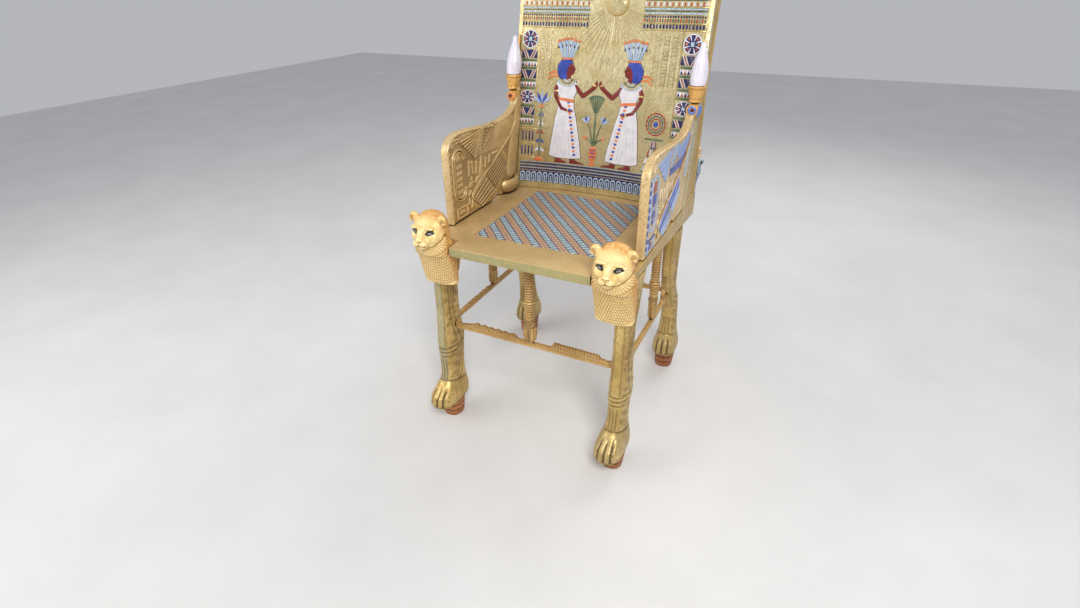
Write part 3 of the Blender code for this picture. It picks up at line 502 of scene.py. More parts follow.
def garland(side):
    """The flower garland down one edge: medallions, triangles and bars."""
    groups = {"navy": [], "red": [], "green": [], "robe": [], "line": [], "robe_high": [], "pale_high": [],
              "orange_high": [], "red_high": [], "navy_high": []}
    middle = side * 0.2125
    half = 0.0225

    def medallion(z, tall):
        groups["navy"].append(round_loop((middle, z), 0.84 * half, 0.42 * tall, 20))
        groups["robe"] += [round_loop((middle, z), 1.00 * half, 0.5 * tall, 24),
                           round_loop((middle, z), 0.88 * half, 0.44 * tall, 24)]
        for turn in range(0, 360, 45):
            lean = math.radians(turn + 22.5)
            near = (middle + 0.34 * half * math.cos(lean), z + 0.17 * tall * math.sin(lean))
            far = (middle + 0.86 * half * math.cos(lean), z + 0.43 * tall * math.sin(lean))
            groups["robe_high"].append(strip_loop(near, far, 0.0012, 0.0034))
        for turn in (0, 45, 135, 180, 225, 315):
            lean = math.radians(turn)
            spot = (middle + 0.64 * half * math.cos(lean), z + 0.32 * tall * math.sin(lean))
            groups["red_high" if turn % 90 else "orange_high"].append(round_loop(spot, 0.11 * half,
                    0.06 * tall, 10))
        groups["pale_high"].append(round_loop((middle, z), 0.26 * half, 0.15 * tall, 4, 45.0, 405.0))

    def triangles(z, tall):
        low = z - 0.5 * tall
        top = z + 0.5 * tall
        groups["navy"].append([(middle - 0.44 * half, top), (middle, low), (middle + 0.44 * half, top)])
        for hand in (-1, 1):
            groups["robe"].append(strip_loop((middle + hand * 0.56 * half, top),
                                             (middle + hand * 0.12 * half, low),
                                             0.0018, 0.0018))
            groups["red"].append(strip_loop((middle + hand * 0.7 * half, top),
                                            (middle + hand * 0.26 * half, low),
                                            0.0022, 0.0022))
            groups["robe"].append(strip_loop((middle + hand * 0.84 * half, top),
                                             (middle + hand * 0.4 * half, low),
                                             0.0018, 0.0018))
            groups["navy"].append([(middle + hand * 0.96 * half, top), (middle + hand * 0.96 * half, low),
                                   (middle + hand * 0.54 * half, low)])

    def bar(z, tall, colour):
        groups[colour].append(box_loop(middle - 0.95 * half, z - 0.5 * tall, middle + 0.95 * half,
                                       z + 0.5 * tall))

    def teeth(z, tall, count=5):
        groups["robe"].append(box_loop(middle - 0.96 * half, z - 0.5 * tall, middle + 0.96 * half,
                                       z + 0.5 * tall))
        wide = 1.9 * half / count
        for i in range(count):
            left = middle - 0.95 * half + i * wide
            groups["red_high" if i % 2 else "navy_high"].append(
                [(left + 0.1 * wide, z - 0.45 * tall), (left + 0.9 * wide, z - 0.45 * tall),
                 (left + 0.5 * wide, z + 0.45 * tall)])

    z = 0.9185
    for kind, tall in (("medallion", 0.046), ("triangles", 0.02), ("bar", 0.0055), ("teeth", 0.0095),
                       ("bar", 0.0055), ("triangles", 0.02), ("bar", 0.0055), ("teeth", 0.0095),
                       ("bar", 0.0055), ("medallion", 0.034), ("bar", 0.0055), ("triangles", 0.018),
                       ("bar", 0.0055), ("teeth", 0.009), ("bar", 0.0045)):
        z -= 0.5 * tall
        if kind == "medallion":
            medallion(z, tall)
        elif kind == "triangles":
            triangles(z, tall)
        elif kind == "bar":
            bar(z, tall * 0.8, "green")
        else:
            teeth(z, tall)
        z -= 0.5 * tall + 0.0022
    for edge in (-1.0, 1.0):
        x = middle + edge * (half + 0.0022)
        groups["line"].append(box_loop(x - 0.0006, z, x + 0.0006, 0.9205))
    return groups


def column_foot(side):
    """Gold column bases with dark upright stripes below a garland."""
    groups = {"navy": [], "line": []}
    middle = side * 0.205
    for low, high in ((0.607, 0.63), (0.644, 0.668)):
        for i in range(4):
            x = middle + (i - 1.5) * 0.0095
            groups["navy"].append(box_loop(x - 0.0018, low, x + 0.0018, high))
    for z in (0.637, 0.675, 0.6):
        groups["line"].append(box_loop(middle - 0.024, z - 0.0012, middle + 0.024, z + 0.0012))
    return groups


def lower_frieze():
    """Dark lines over a row of pale arches on a dark ground."""
    groups = {"navy": [], "pale_high": [], "pale_blue": [], "line": []}
    half = 0.222
    for z in (0.568, 0.576, 0.584):
        groups["navy"].append(box_loop(-half, z - 0.0016, half, z + 0.0016))
        groups["pale_blue"].append(box_loop(-half, z + 0.003, half, z + 0.0042))
    groups["navy"].append(box_loop(-half, 0.5345, half, 0.5635))
    count = 27
    step = 2.0 * half / count
    for i in range(count):
        c = -half + (i + 0.5) * step
        outer = round_loop((c, 0.5545), 0.42 * step, 0.0072, 8, 0.0, 180.0)
        outer += [(c - 0.38 * step, 0.5355), (c + 0.38 * step, 0.5355)]
        inner = round_loop((c, 0.5535), 0.26 * step, 0.0048, 8, 0.0, 180.0)
        inner += [(c - 0.24 * step, 0.5385), (c + 0.24 * step, 0.5385)]
        groups["pale_high"] += [outer, inner, box_loop(c - 0.08 * step, 0.54, c + 0.08 * step, 0.5535)]
    return groups


# A standing figure in profile, one unit tall, facing +u
FIGURE = {
    "robe": [
        [(-0.07, 0.8), (0.012, 0.806), (0.075, 0.78), (0.088, 0.715), (0.062, 0.64), (0.066, 0.56),
         (0.098, 0.42), (0.14, 0.2), (0.158, 0.064), (0.06, 0.05), (-0.07, 0.052), (-0.128, 0.07),
         (-0.112, 0.25), (-0.092, 0.44), (-0.07, 0.56), (-0.064, 0.65), (-0.094, 0.72), (-0.1, 0.775)],
    ],
    "skin": [
        [(0.02, 0.836), (0.03, 0.8), (-0.03, 0.8), (-0.026, 0.85), (-0.02, 0.9), (-0.004, 0.952),
         (0.026, 0.962), (0.046, 0.948), (0.05, 0.925), (0.062, 0.904), (0.052, 0.898), (0.053, 0.884),
         (0.048, 0.872), (0.04, 0.858), (0.024, 0.852)],
        [(0.06, 0.77), (0.086, 0.76), (0.14, 0.69), (0.212, 0.752), (0.236, 0.782), (0.244, 0.812),
         (0.256, 0.806), (0.262, 0.776), (0.246, 0.738), (0.15, 0.648), (0.132, 0.646), (0.084, 0.704)],
        [(-0.098, 0.764), (-0.078, 0.74), (-0.086, 0.66), (-0.036, 0.556), (0.034, 0.52), (0.058, 0.532),
         (0.064, 0.518), (0.04, 0.498), (-0.05, 0.526), (-0.112, 0.646), (-0.12, 0.72)],
        [(0.06, 0.046), (0.064, 0.022), (0.06, 0.004), (0.19, 0.004), (0.184, 0.014), (0.122, 0.03),
         (0.104, 0.048)],
        [(-0.07, 0.046), (-0.068, 0.022), (-0.074, 0.004), (0.04, 0.004), (0.034, 0.014), (-0.01, 0.03),
         (-0.024, 0.046)],
    ],
    "blue_high": [
        [(0.036, 0.972), (0.01, 0.992), (-0.03, 0.996), (-0.07, 0.978), (-0.092, 0.936), (-0.094, 0.88),
         (-0.08, 0.832), (-0.044, 0.806), (-0.01, 0.82), (-0.014, 0.866), (-0.008, 0.908), (0.006, 0.944),
         (0.034, 0.956)],
    ],
    "line_high": [
        [(-0.014, 0.982), (0.03, 0.978), (0.04, 0.97), (0.038, 0.96), (0.01, 0.964), (-0.06, 0.95),
         (-0.086, 0.922), (-0.088, 0.936), (-0.062, 0.968)],
    ],
    "black_high": [
        [(0.012, 0.92), (0.026, 0.926), (0.04, 0.92), (0.028, 0.914)],
    ],
}
FIGURE_TALL = 0.262
FIGURE_SPREAD = 1.22
FIGURE_FOOT = 0.5905


def figure(x, facing, groups):
    """A calm standing figure in a long pleated robe."""
    middle = (x, FIGURE_FOOT)

    def add(colour, shape):
        wider = [(FIGURE_SPREAD * u, v) for u, v in shape]
        loop = placed(wider, middle, FIGURE_TALL, facing)
        if facing < 0:
            loop.reverse()
        groups[colour].append(loop)

    for colour, shapes in FIGURE.items():
        for shape in shapes:
            add(colour, shape)
    # Broad collar in bands
    for i, colour in enumerate(("pale_high", "line_high", "green_high", "line_high", "pale_high")):
        grow = 1.0 - 0.17 * i
        band = []
        for wide, turns in ((grow, range(190, 351, 16)), (grow - 0.13, range(350, 189, -16))):
            for turn in turns:
                lean = math.radians(turn)
                band.append((-0.006 + 0.086 * wide * math.cos(lean), 0.822 + 0.082 * wide * math.sin(lean)))
        add(colour, band)
    # Pleats of the robe and the banded sash down its front
    for i in range(7):
        lean = -0.078 + 0.03 * i
        add("pleat", strip_loop((0.55 * lean, 0.515), (1.25 * lean, 0.085), 0.0016, 0.003))
    for i in range(15):
        share = i / 14.0
        u = 0.02 + 0.08 * share
        v = 0.6 - 0.505 * share
        add("orange_high" if i % 2 else "blue_high", box_loop(u - 0.012, v - 0.011, u + 0.012, v + 0.011))
    add("orange_high", strip_loop((-0.066, 0.628), (0.064, 0.612), 0.026, 0.03))
    # Plumes on a band, and two ribbons that hang behind the head
    add("orange_high", box_loop(-0.066, 0.99, 0.04, 1.006))
    for i in range(6):
        near = (-0.054 + 0.016 * i, 1.008)
        far = (-0.096 + 0.034 * i, 1.176 - 0.01 * abs(i - 2.5))
        add("pale_blue" if i % 2 else "sky", strip_loop(near, far, 0.013, 0.026))
        add("orange_high", round_loop((far[0], far[1] + 0.004), 0.013, 0.014, 12))
        add("navy_high", round_loop((far[0] - 0.004, far[1] - 0.052), 0.005, 0.012, 10))
    for low in (0.0, 0.034):
        add("orange_under", path_loop([(-0.078, 0.868 - low), (-0.13, 0.878 - low),
                                       (-0.176, 0.852 - 1.4 * low)],
                                [0.016, 0.02, 0.014]))
    # Bracelets
    for spot, lean in (((0.232, 0.772), 60), ((0.016, 0.52), -20), ((-0.098, 0.7), -80)):
        turn = math.radians(lean)
        across = (math.sin(turn) * 0.019, -math.cos(turn) * 0.019)
        add("line_high", strip_loop((spot[0] - across[0], spot[1] - across[1]),
                                    (spot[0] + across[0], spot[1] + across[1]), 0.014, 0.014))


def bouquet(x, groups):
    """A tall bunch of papyrus and lotus on a stand between the figures."""
    foot = FIGURE_FOOT
    groups["green"].append(path_loop([(x, foot + 0.05), (x, foot + 0.135)], [0.0048, 0.0036]))
    fan = [(x - 0.004, foot + 0.135)]
    fan += round_loop((x, foot + 0.168), 0.023, 0.01, 12, 165.0, 15.0)
    fan += [(x + 0.004, foot + 0.135)]
    groups["green"].append(list(reversed(fan)))
    for hand in (-1, 1):
        bend = [(x + hand * 0.003, foot + 0.052), (x + hand * 0.01, foot + 0.085),
                (x + hand * 0.019, foot + 0.108)]
        groups["green"].append(path_loop(bend, [0.0026, 0.0024, 0.002]))
        tip = (x + hand * 0.0215, foot + 0.11)
        for turn, colour in ((-38, "sky"), (0, "blue"), (38, "sky")):
            lean = math.radians(90 - hand * 22 + turn)
            far = (tip[0] + 0.019 * math.cos(lean), tip[1] + 0.019 * math.sin(lean))
            mid = (tip[0] + 0.01 * math.cos(lean), tip[1] + 0.01 * math.sin(lean))
            groups[colour].append(path_loop([tip, mid, far], [0.0014, 0.0058, 0.0008]))
        low = [(x + hand * 0.002, foot + 0.052), (x + hand * 0.012, foot + 0.066),
               (x + hand * 0.022, foot + 0.07)]
        groups["green"].append(path_loop(low, [0.0022, 0.002, 0.0016]))
        groups["orange"].append(round_loop((x + hand * 0.0255, foot + 0.0715), 0.0042, 0.0046, 12))
    for i in range(7):
        lean = math.radians(150 - 20 * i)
        near = (x + 0.008 * math.cos(lean), foot + 0.141 + 0.01 * math.sin(lean))
        far = (x + 0.0225 * math.cos(lean), foot + 0.164 + 0.01 * math.sin(lean))
        groups["line_high"].append(strip_loop(near, far, 0.0006, 0.0011))
    # Stand: a flared jar on a foot
    jar = [(x - 0.0045, foot + 0.052), (x - 0.009, foot + 0.044), (x - 0.0115, foot + 0.032),
           (x - 0.008, foot + 0.018),
           (x - 0.0035, foot + 0.01), (x - 0.009, foot + 0.001), (x + 0.009, foot + 0.001),
           (x + 0.0035, foot + 0.01),
           (x + 0.008, foot + 0.018), (x + 0.0115, foot + 0.032), (x + 0.009, foot + 0.044),
           (x + 0.0045, foot + 0.052)]
    groups["orange"].append(jar)
    for z in (0.024, 0.034, 0.042):
        groups["blue_high"].append(box_loop(x - 0.0075, foot + z - 0.0011, x + 0.0075, foot + z + 0.0011))


def lotus_staff(x, groups):
    """A tall stem with a lotus head and hanging ribbons."""
    foot = FIGURE_FOOT
    groups["green"].append(box_loop(x - 0.0016, foot + 0.001, x + 0.0016, foot + 0.15))
    for i, turn in enumerate((-52, -26, 0, 26, 52)):
        lean = math.radians(90 + turn)
        near = (x + 0.004 * math.cos(lean), foot + 0.148 + 0.004 * math.sin(lean))
        mid = (x + 0.019 * math.cos(lean), foot + 0.148 + 0.019 * math.sin(lean))
        far = (x + 0.034 * math.cos(lean), foot + 0.148 + 0.034 * math.sin(lean))
        groups["blue" if i % 2 else "sky"].append(path_loop([near, mid, far], [0.0018, 0.0074, 0.0008]))
    groups["orange"].append(box_loop(x - 0.0062, foot + 0.1395, x + 0.0062, foot + 0.146))
    for i in range(5):
        z = foot + 0.128 - 0.0225 * i
        wide = 0.007 + 0.0016 * i
        groups[("blue", "robe", "red")[i % 3]].append(
            [(x - 0.003, z), (x - wide, z - 0.0085), (x - wide, z - 0.0125), (x - 0.003, z - 0.0085)])
        groups[("blue", "robe", "red")[i % 3]].append(
            [(x + 0.003, z - 0.0085), (x + wide, z - 0.0125), (x + wide, z - 0.0085), (x + 0.003, z)])
    groups["orange"].append([(x - 0.014, foot + 0.001), (x + 0.014, foot + 0.001), (x + 0.006, foot + 0.012),
                             (x - 0.006, foot + 0.012)])


def collar_stand(x, groups):
    """A round beaded collar on a tiered stand."""
    foot = FIGURE_FOOT
    middle = (x, foot + 0.122)
    for i, (radius, colour) in enumerate(((0.029, "line"), (0.0255, "red"), (0.0195, "green"),
                                          (0.0135, "red"))):
        groups[colour] += [round_loop(middle, radius, radius * 1.06, 32),
                           round_loop(middle, radius - 0.0024, (radius - 0.0024) * 1.06, 32)]
        if i:
            beads = 8 + 4 * (3 - i)
            grow = radius + 0.0014
            for j in range(beads):
                turn = 2.0 * math.pi * j / beads
                spot = (middle[0] + grow * math.cos(turn), middle[1] + 1.06 * grow * math.sin(turn))
                groups["robe_high"].append(round_loop(spot, 0.0011, 0.0012, 6))
    groups["blue"].append(round_loop(middle, 0.006, 0.0064, 16))
    groups["green"].append(box_loop(x - 0.024, foot + 0.0835, x + 0.024, foot + 0.0875))
    for i in range(4):
        high = foot + 0.08 - 0.02 * i
        wide = 0.0075 + 0.005 * i
        for j in range(5):
            near = (x + (j - 2) * 0.36 * wide, high)
            far = (x + (j - 2) * 0.5 * wide, high - 0.0135)
            groups[("pale_blue", "red", "robe")[(i + j) % 3]].append(strip_loop(near, far, 0.2 * wide,
                    0.3 * wide))
        groups["navy"].append(box_loop(x - 1.05 * wide, high - 0.0172, x + 1.05 * wide, high - 0.015))


def stroke_column(x, low, high, wide, seed):
    """A column of short plain strokes inside two thin lines."""
    picks = np.random.default_rng(seed)
    loops = [box_loop(x - 0.5 * wide - 0.0008, low, x - 0.5 * wide - 0.0002, high),
             box_loop(x + 0.5 * wide + 0.0002, low, x + 0.5 * wide + 0.0008, high)]
    z = high - 0.003
    while z > low + 0.004:
        kind = picks.integers(0, 3)
        if kind == 0:
            loops.append(box_loop(x - 0.36 * wide, z - 0.0012, x + 0.36 * wide, z))
            z -= 0.0044
        elif kind == 1:
            for i in range(3):
                at = x + (i - 1) * 0.26 * wide
                loops.append(box_loop(at - 0.0006, z - 0.0046, at + 0.0006, z))
            z -= 0.0086
        else:
            loops.append(round_loop((x - 0.18 * wide, z - 0.0018), 0.0016, 0.0016, 8))
            loops.append(box_loop(x + 0.04 * wide, z - 0.0026, x + 0.34 * wide, z - 0.0012))
            z -= 0.007
    return loops


def build_back():
    panel = copy_of("back_panel", "back_panel_inlaid")
    dress(panel, panel_gold)
    soften(panel, 0.0015, 2)
    parts = [panel]
    finishes = {
        "green": green, "red": red, "blue": blue, "navy": navy, "robe": robe, "pale_blue": pale_blue,
        "line": line_gold,
        "skin": skin, "orange": orange, "orange_under": orange, "sky": sky, "stroke": stroke_gold,
        "blue_high": blue,
        "line_high": line_gold, "pale_high": pale_blue, "green_high": green, "orange_high": orange,
        "red_high": red,
        "robe_high": robe, "navy_high": navy, "black_high": black, "pleat": pale_blue,
    }
    groups = {key: [] for key in finishes}

    def take(more):
        for key, loops in more.items():
            groups[key] += loops

    take(upper_bands())
    for side in (-1, 1):
        take(garland(side))
        take(column_foot(side))
    take(lower_frieze())
    shadowed_loops = []
    for x, facing in ((-0.1, 1.0), (0.07, -1.0)):
        before = {key: len(groups[key]) for key in ("robe", "skin", "blue_high")}
        figure(x, facing, groups)
        shadowed_loops += [groups[key][count] for key, count in before.items() if key != "skin"]
    # Painted shadow: a black sheet, 1 mm wider, under each robe and head of hair darkens their edges.
    for i, loop in enumerate(shadowed_loops):
        shadow = cut_sheet("back_edge_shadow", [loop], 0.0014, black, 0.0003, 0.001)
        parts.append(lay_on_back(shadow, 0.0001 if i % 2 == 0 else 0.0009))
    bouquet(-0.016, groups)
    lotus_staff(-0.17, groups)
    collar_stand(0.148, groups)
    for low_x, high_x in ((-0.186, -0.15), (0.118, 0.182)):
        count = round((high_x - low_x) / 0.02)
        for i in range(count):
            x = low_x + (high_x - low_x) * (i + 0.5) / count
            groups["stroke"] += stroke_column(x, 0.8, 0.914, 0.0115, 11 + i + int(1000 * abs(low_x)))
    for i in range(23):
        turn = math.radians(-158 + 136 * i / 22)
        length = 0.165 - 0.065 * abs(i - 11) / 11
        near = (DISC_X + 0.036 * math.cos(turn), DISC_Z + 0.036 * math.sin(turn))
        far = (DISC_X + length * math.cos(turn), DISC_Z + length * math.sin(turn))
        groups["stroke"].append(strip_loop(near, far, 0.0012, 0.0022))
    for key, loops in groups.items():
        thick = 0.0014 if key in ("line", "line_high", "pleat", "stroke") else 0.0016
        lift = HIGH_LIFT if key.endswith("_high") else INLAY_LIFTS.get(key, FLUSH_LIFT)
        parts.append(lay_on_back(cut_sheet("back_" + key, loops, thick, finishes[key], 0.0003), lift))
    for radius, lift, finish in ((DISC_RADIUS, 0.001, line_gold), (DISC_RADIUS * 0.84, 0.0022, panel_gold)):
        disc = cut_sheet("sun", [round_loop((DISC_X, DISC_Z), radius, radius, 40)], 0.003, finish, 0.0012)
        parts.append(lay_on_back(disc, lift))
    piece = join(parts, "back_panel_inlaid")
    smooth(piece, 30)
    seat_on_frame(piece, "pale_gilding", "back_panel")


# Carving tools

def remesh(piece, voxel, rounds):
    """Fuses a piece into an even skin and smooths it."""
    fuse = piece.modifiers.new("even skin", "REMESH")
    fuse.mode = "VOXEL"
    fuse.voxel_size = voxel
    if rounds:
        ease = piece.modifiers.new("ease", "SMOOTH")
        ease.factor = 0.5
        ease.iterations = rounds
    settle(piece)


def thin_out(piece, share):
    """Drops small faces where the carving is flat."""
    fewer = piece.modifiers.new("fewer faces", "DECIMATE")
    fewer.ratio = share
    settle(piece)


def normals_of(piece):
    normals = np.empty(len(piece.data.vertices) * 3)
    piece.data.vertex_normals.foreach_get("vector", normals)
    return normals.reshape(-1, 3)


def set_shade(piece, name, values):
    """Stores one number a point for the finish, such as how much painted shade a hollow gets."""
    layer = piece.data.attributes.get(name) or piece.data.attributes.new(name, "FLOAT", "POINT")
    layer.data.foreach_set("value", np.ascontiguousarray(values, dtype=np.float32))


def skin_of(node, ending, voxel, rounds):
    """A fused copy of a solid, with its points and their normals."""
    piece = copy_of(node, node + ending)
    remesh(piece, voxel, rounds)
    return piece, points_of(piece), normals_of(piece)

def hand_over(piece, places, hollow, finish, slot, node, angle=60):
    """Gives a carved piece its points, shade and finish, and hands it to the throne."""
    move_points(piece, places)
    set_shade(piece, "hollow", hollow)
    smooth(piece, angle)
    dress(piece, finish)
    seat_on_frame(piece, slot, node)

def read_off(table, at):
    """Values read off a table of (place, value) pairs."""
    marks, values = zip(*table)
    return np.interp(at, marks, values)

def blob(middle, radii, turn=(0.0, 0.0, 0.0), rings=12):
    """An egg of clay, added before a piece is fused."""
    bpy.ops.mesh.primitive_uv_sphere_add(segments=2 * rings, ring_count=rings, radius=1.0)
    egg = bpy.context.object
    egg.scale = radii
    egg.rotation_euler = [math.radians(angle) for angle in turn]
    egg.location = middle
    bpy.ops.object.transform_apply(location=True, rotation=True, scale=True)
    return egg


def soft_step(value, low, high):
    share = np.clip((value - low) / (high - low), 0.0, 1.0)
    return share * share * (3.0 - 2.0 * share)


def near_line(u, v, line):
    """Distance of each point to a bent line, and how far along the line it is."""
    nearest = np.full(u.shape, 9.0)
    along = np.zeros(u.shape)
    done = 0.0
    for (au, av), (bu, bv) in zip(line[:-1], line[1:]):
        ru = bu - au
        rv = bv - av
        length = math.hypot(ru, rv)
        share = np.clip(((u - au) * ru + (v - av) * rv) / (length * length), 0.0, 1.0)
        distance = np.hypot(u - au - share * ru, v - av - share * rv)
        closer = distance < nearest
        nearest = np.where(closer, distance, nearest)
        along = np.where(closer, done + share * length, along)
        done += length
    return nearest, along / done


def inside(u, v, corners):
    """Which points lie inside a closed outline."""
    within = np.zeros(u.shape, dtype=bool)
    for (au, av), (bu, bv) in zip(corners, corners[1:] + corners[:1]):
        if av == bv:
            continue
        crosses = (av > v) != (bv > v)
        at = au + (v - av) * (bu - au) / (bv - av)
        within ^= crosses & (u < at)
    return within


def ridge(u, v, line, wide, tall, end_wide=None):
    """A round-backed ridge along a line, as a height for each point."""
    distance, along = near_line(u, v, line)
    half = 0.5 * (wide + (along * (end_wide - wide) if end_wide is not None else 0.0))
    return tall * np.sqrt(np.clip(1.0 - (distance / half) ** 2, 0.0, 1.0))


def pad(u, v, corners, shoulder, tall):
    """A raised field inside an outline, with a soft shoulder."""
    distance, _ = near_line(u, v, corners + corners[:1])
    return np.where(inside(u, v, corners), tall * soft_step(distance, 0.0, shoulder), 0.0)


# The lions' heads

HEAD_X = 0.218
MANE_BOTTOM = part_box("lion_head_right")[0].z
MANE_CURVE = 0.018
HEAD_VOXEL = 0.0014
NOTCH_SIDE = 0.2385
FACE_LEVELS = ((0.5, 0.018), (0.512, 0.021), (0.52, 0.026), (0.532, 0.03), (0.55, 0.0305), (0.562, 0.03),
               (0.572, 0.029), (0.58, 0.0235), (0.587, 0.014), (0.594, 0.004))
FACE_HALVES = ((0.51, 0.024), (0.52, 0.029), (0.53, 0.033), (0.542, 0.038), (0.556, 0.0455), (0.6, 0.0465))
CLAY = (
    ((0.0, 0.0265, 0.5325), (0.0172, 0.0185, 0.0128), 0.0),
    ((0.0, 0.03, 0.553), (0.0102, 0.0112, 0.019), 36.0),
    ((0.0, 0.0425, 0.5425), (0.0092, 0.0052, 0.0046), 0.0),
    ((0.008, 0.0352, 0.533), (0.0104, 0.011, 0.0084), 0.0),
    ((0.0, 0.0285, 0.5195), (0.0115, 0.0105, 0.007), 0.0),
    ((0.02, 0.012, 0.544), (0.016, 0.018, 0.018), 0.0),
    ((0.018, 0.0235, 0.566), (0.0125, 0.0072, 0.0042), 0.0),
    ((0.0395, 0.001, 0.5775), (0.01, 0.007, 0.0108), 0.0),
)
MOUTH = ((0.0, 0.5292), (0.0042, 0.527), (0.0095, 0.5268), (0.0148, 0.529))
CHEEK_CREASE = ((0.012, 0.554), (0.015, 0.546), (0.02, 0.539), (0.022, 0.532))
EYE = (0.0192, 0.5545)
EAR = (0.041, 0.578)
FACE_EDGE = ((0.0, 0.031), (25.0, 0.0315), (55.0, 0.035), (80.0, 0.0405), (105.0, 0.043), (128.0, 0.0435))
RUFF_MIDDLE = 0.549
TUFT_TALL = 0.0076
TUFT_WIDE = 0.006
BIB_FRONTS = ((0.4107, -0.0129), (0.4312, -0.0083), (0.4609, 0.0), (0.4907, 0.0101), (0.4963, 0.0193),
              (0.5112, 0.0212))


def carve_face(x, f, z, push):
    """Sockets, creases, mouth and ears, on the front of the head only."""
    across = np.abs(x)
    front = soft_step(f, 0.008, 0.016)
    deep = np.zeros(x.shape)
    socket = np.exp(-(((across - EYE[0]) / 0.0105) ** 2 + ((z - EYE[1]) / 0.0062) ** 2))
    push[:, 1] += front * socket * 0.003
    for line, wide, cut in ((MOUTH, 0.003, 0.0022), (CHEEK_CREASE, 0.0064, 0.0012),
                            (((0.0, 0.539), (0.0, 0.5292)), 0.0022, 0.0012),
                            (((0.003, 0.5412), (0.0072, 0.5396)), 0.003, 0.0012),
                            (((0.0, 0.572), (0.0, 0.587)), 0.003, 0.0006),
                            (((0.007, 0.574), (0.0095, 0.585)), 0.0026, 0.0006),
                            (((0.0095, 0.563), (0.0185, 0.5655), (0.029, 0.56)), 0.0024, 0.0006)):
        groove = ridge(across, z, line, wide, 1.0)
        push[:, 1] += front * groove * cut
        if cut > 0.0009 and wide < 0.005:
            deep = np.maximum(deep, front * groove)
    ear = np.hypot((across - EAR[0]) / 0.0068, (z - EAR[1]) / 0.0074)
    bowl = np.clip(1.0 - ear ** 2, 0.0, 1.0) * soft_step(f, -0.001, 0.003) * (z > 0.565)
    push[:, 1] += bowl * 0.0042
    # Painted shade: dark in the narrow grooves and in the ear bowls.
    return np.maximum(deep, 0.65 * bowl)


def behind_front(f, z):
    """How far a point lies behind the bib's front."""
    return read_off(BIB_FRONTS, z) - f


def carve_mane(x, f, z):
    """Height and painted shade of the ruff's tufts and the rows of tufts below it."""
    turn = np.degrees(np.arctan2(np.abs(x), RUFF_MIDDLE - z))
    reach = np.hypot(x, z - RUFF_MIDDLE)
    face_edge = read_off(FACE_EDGE, turn)
    ruff = (reach - face_edge) / (0.056 - face_edge)
    band = soft_step(ruff, 0.14, 0.24) * (1.0 - soft_step(ruff, 0.88, 0.98)) * (turn < 128)
    band *= soft_step(f, -0.016, -0.01)
    comb = 0.5 + 0.5 * np.cos(np.radians(turn) * 52.0)
    ruff_high = band * (0.0004 + 0.0012 * comb)
    # Painted shade between the ruff's tufts.
    ruff_painted_shade = band * soft_step(1.0 - comb, 0.55, 1.0) * 0.6
    shown = (turn < 128) * (f > -0.01)
    # Painted shadow of the cheek's overhang along the face's edge, and painted shade in the line round the
    # ruff; both are also cut in a little.
    edge = np.exp(-((ruff - 0.08) / 0.1) ** 2) * shown
    border = np.exp(-((ruff - 0.97) / 0.05) ** 2) * shown
    # Rows of tufts, measured round the bib
    along = np.sign(x) * (np.abs(x) + np.clip(behind_front(f, z), 0.0, None))
    level = (z - MANE_BOTTOM) - MANE_CURVE * np.clip(np.abs(x) / 0.046, 0.0, 1.0) ** 3
    row = np.floor(level / TUFT_TALL)
    up = level / TUFT_TALL - row
    side = along / TUFT_WIDE + 0.5 * (row % 2)
    mid = side - np.round(side)
    tuft = np.clip(1.0 - (2.0 * np.abs(mid)) ** 2.4, 0.0, 1.0) * (1.0 - 0.75 * up)
    below = 1.0 - soft_step(reach, 0.0545, 0.057)
    around = soft_step(f, -0.043, -0.036)
    bib = (1.0 - below) * (z < RUFF_MIDDLE + 0.01) * around * soft_step(level, 0.003, 0.0036)
    rim = (1.0 - soft_step(level, 0.0022, 0.003)) * (z < 0.46) * around
    high = ruff_high + bib * (0.0021 * tuft) + rim * 0.001 - 0.002 * edge - 0.0008 * border
    # Painted shade between the bib's tufts.
    deep = np.maximum(ruff_painted_shade, bib * soft_step(1.0 - tuft, 0.4, 0.9) * 0.8)
    return high, np.maximum(np.maximum(deep, 0.75 * edge), 0.6 * border), np.maximum(band, bib)


def add_eye(head, hand):
    """An almond eye set on the face: black line, pale iris and dark pupil."""
    start = Vector((HEAD_X + hand * EYE[0], FRONT_Y - 0.2, EYE[1]))
    _, spot, _, _ = head.ray_cast(start, Vector((0.0, 1.0, 0.0)))
    parts = []
    for radii, shift, pointed, finish in (
        ((0.0118, 0.003, 0.006), 0.0, 0.55, black),
        ((0.0066, 0.0034, 0.0033), -0.0004, 0.5, iris),
        ((0.0025, 0.0038, 0.0025), -0.0007, 0.0, black),
    ):
        egg = blob((0.0, 0.0, 0.0), radii)
        places = points_of(egg)
        reach = np.abs(places[:, 0]) / radii[0]
        places[:, 2] *= 1.0 - pointed * reach ** 1.6
        move_points(egg, places)
        egg.rotation_euler = (math.radians(-8.0), math.radians(hand * -6.0), math.radians(hand * 24.0))
        egg.location = (spot.x, spot.y - 0.0007 + shift, spot.z)
        pick(egg)
        bpy.ops.object.transform_apply(location=True, rotation=True, scale=True)
        dress(egg, finish)
        parts.append(egg)
    return parts


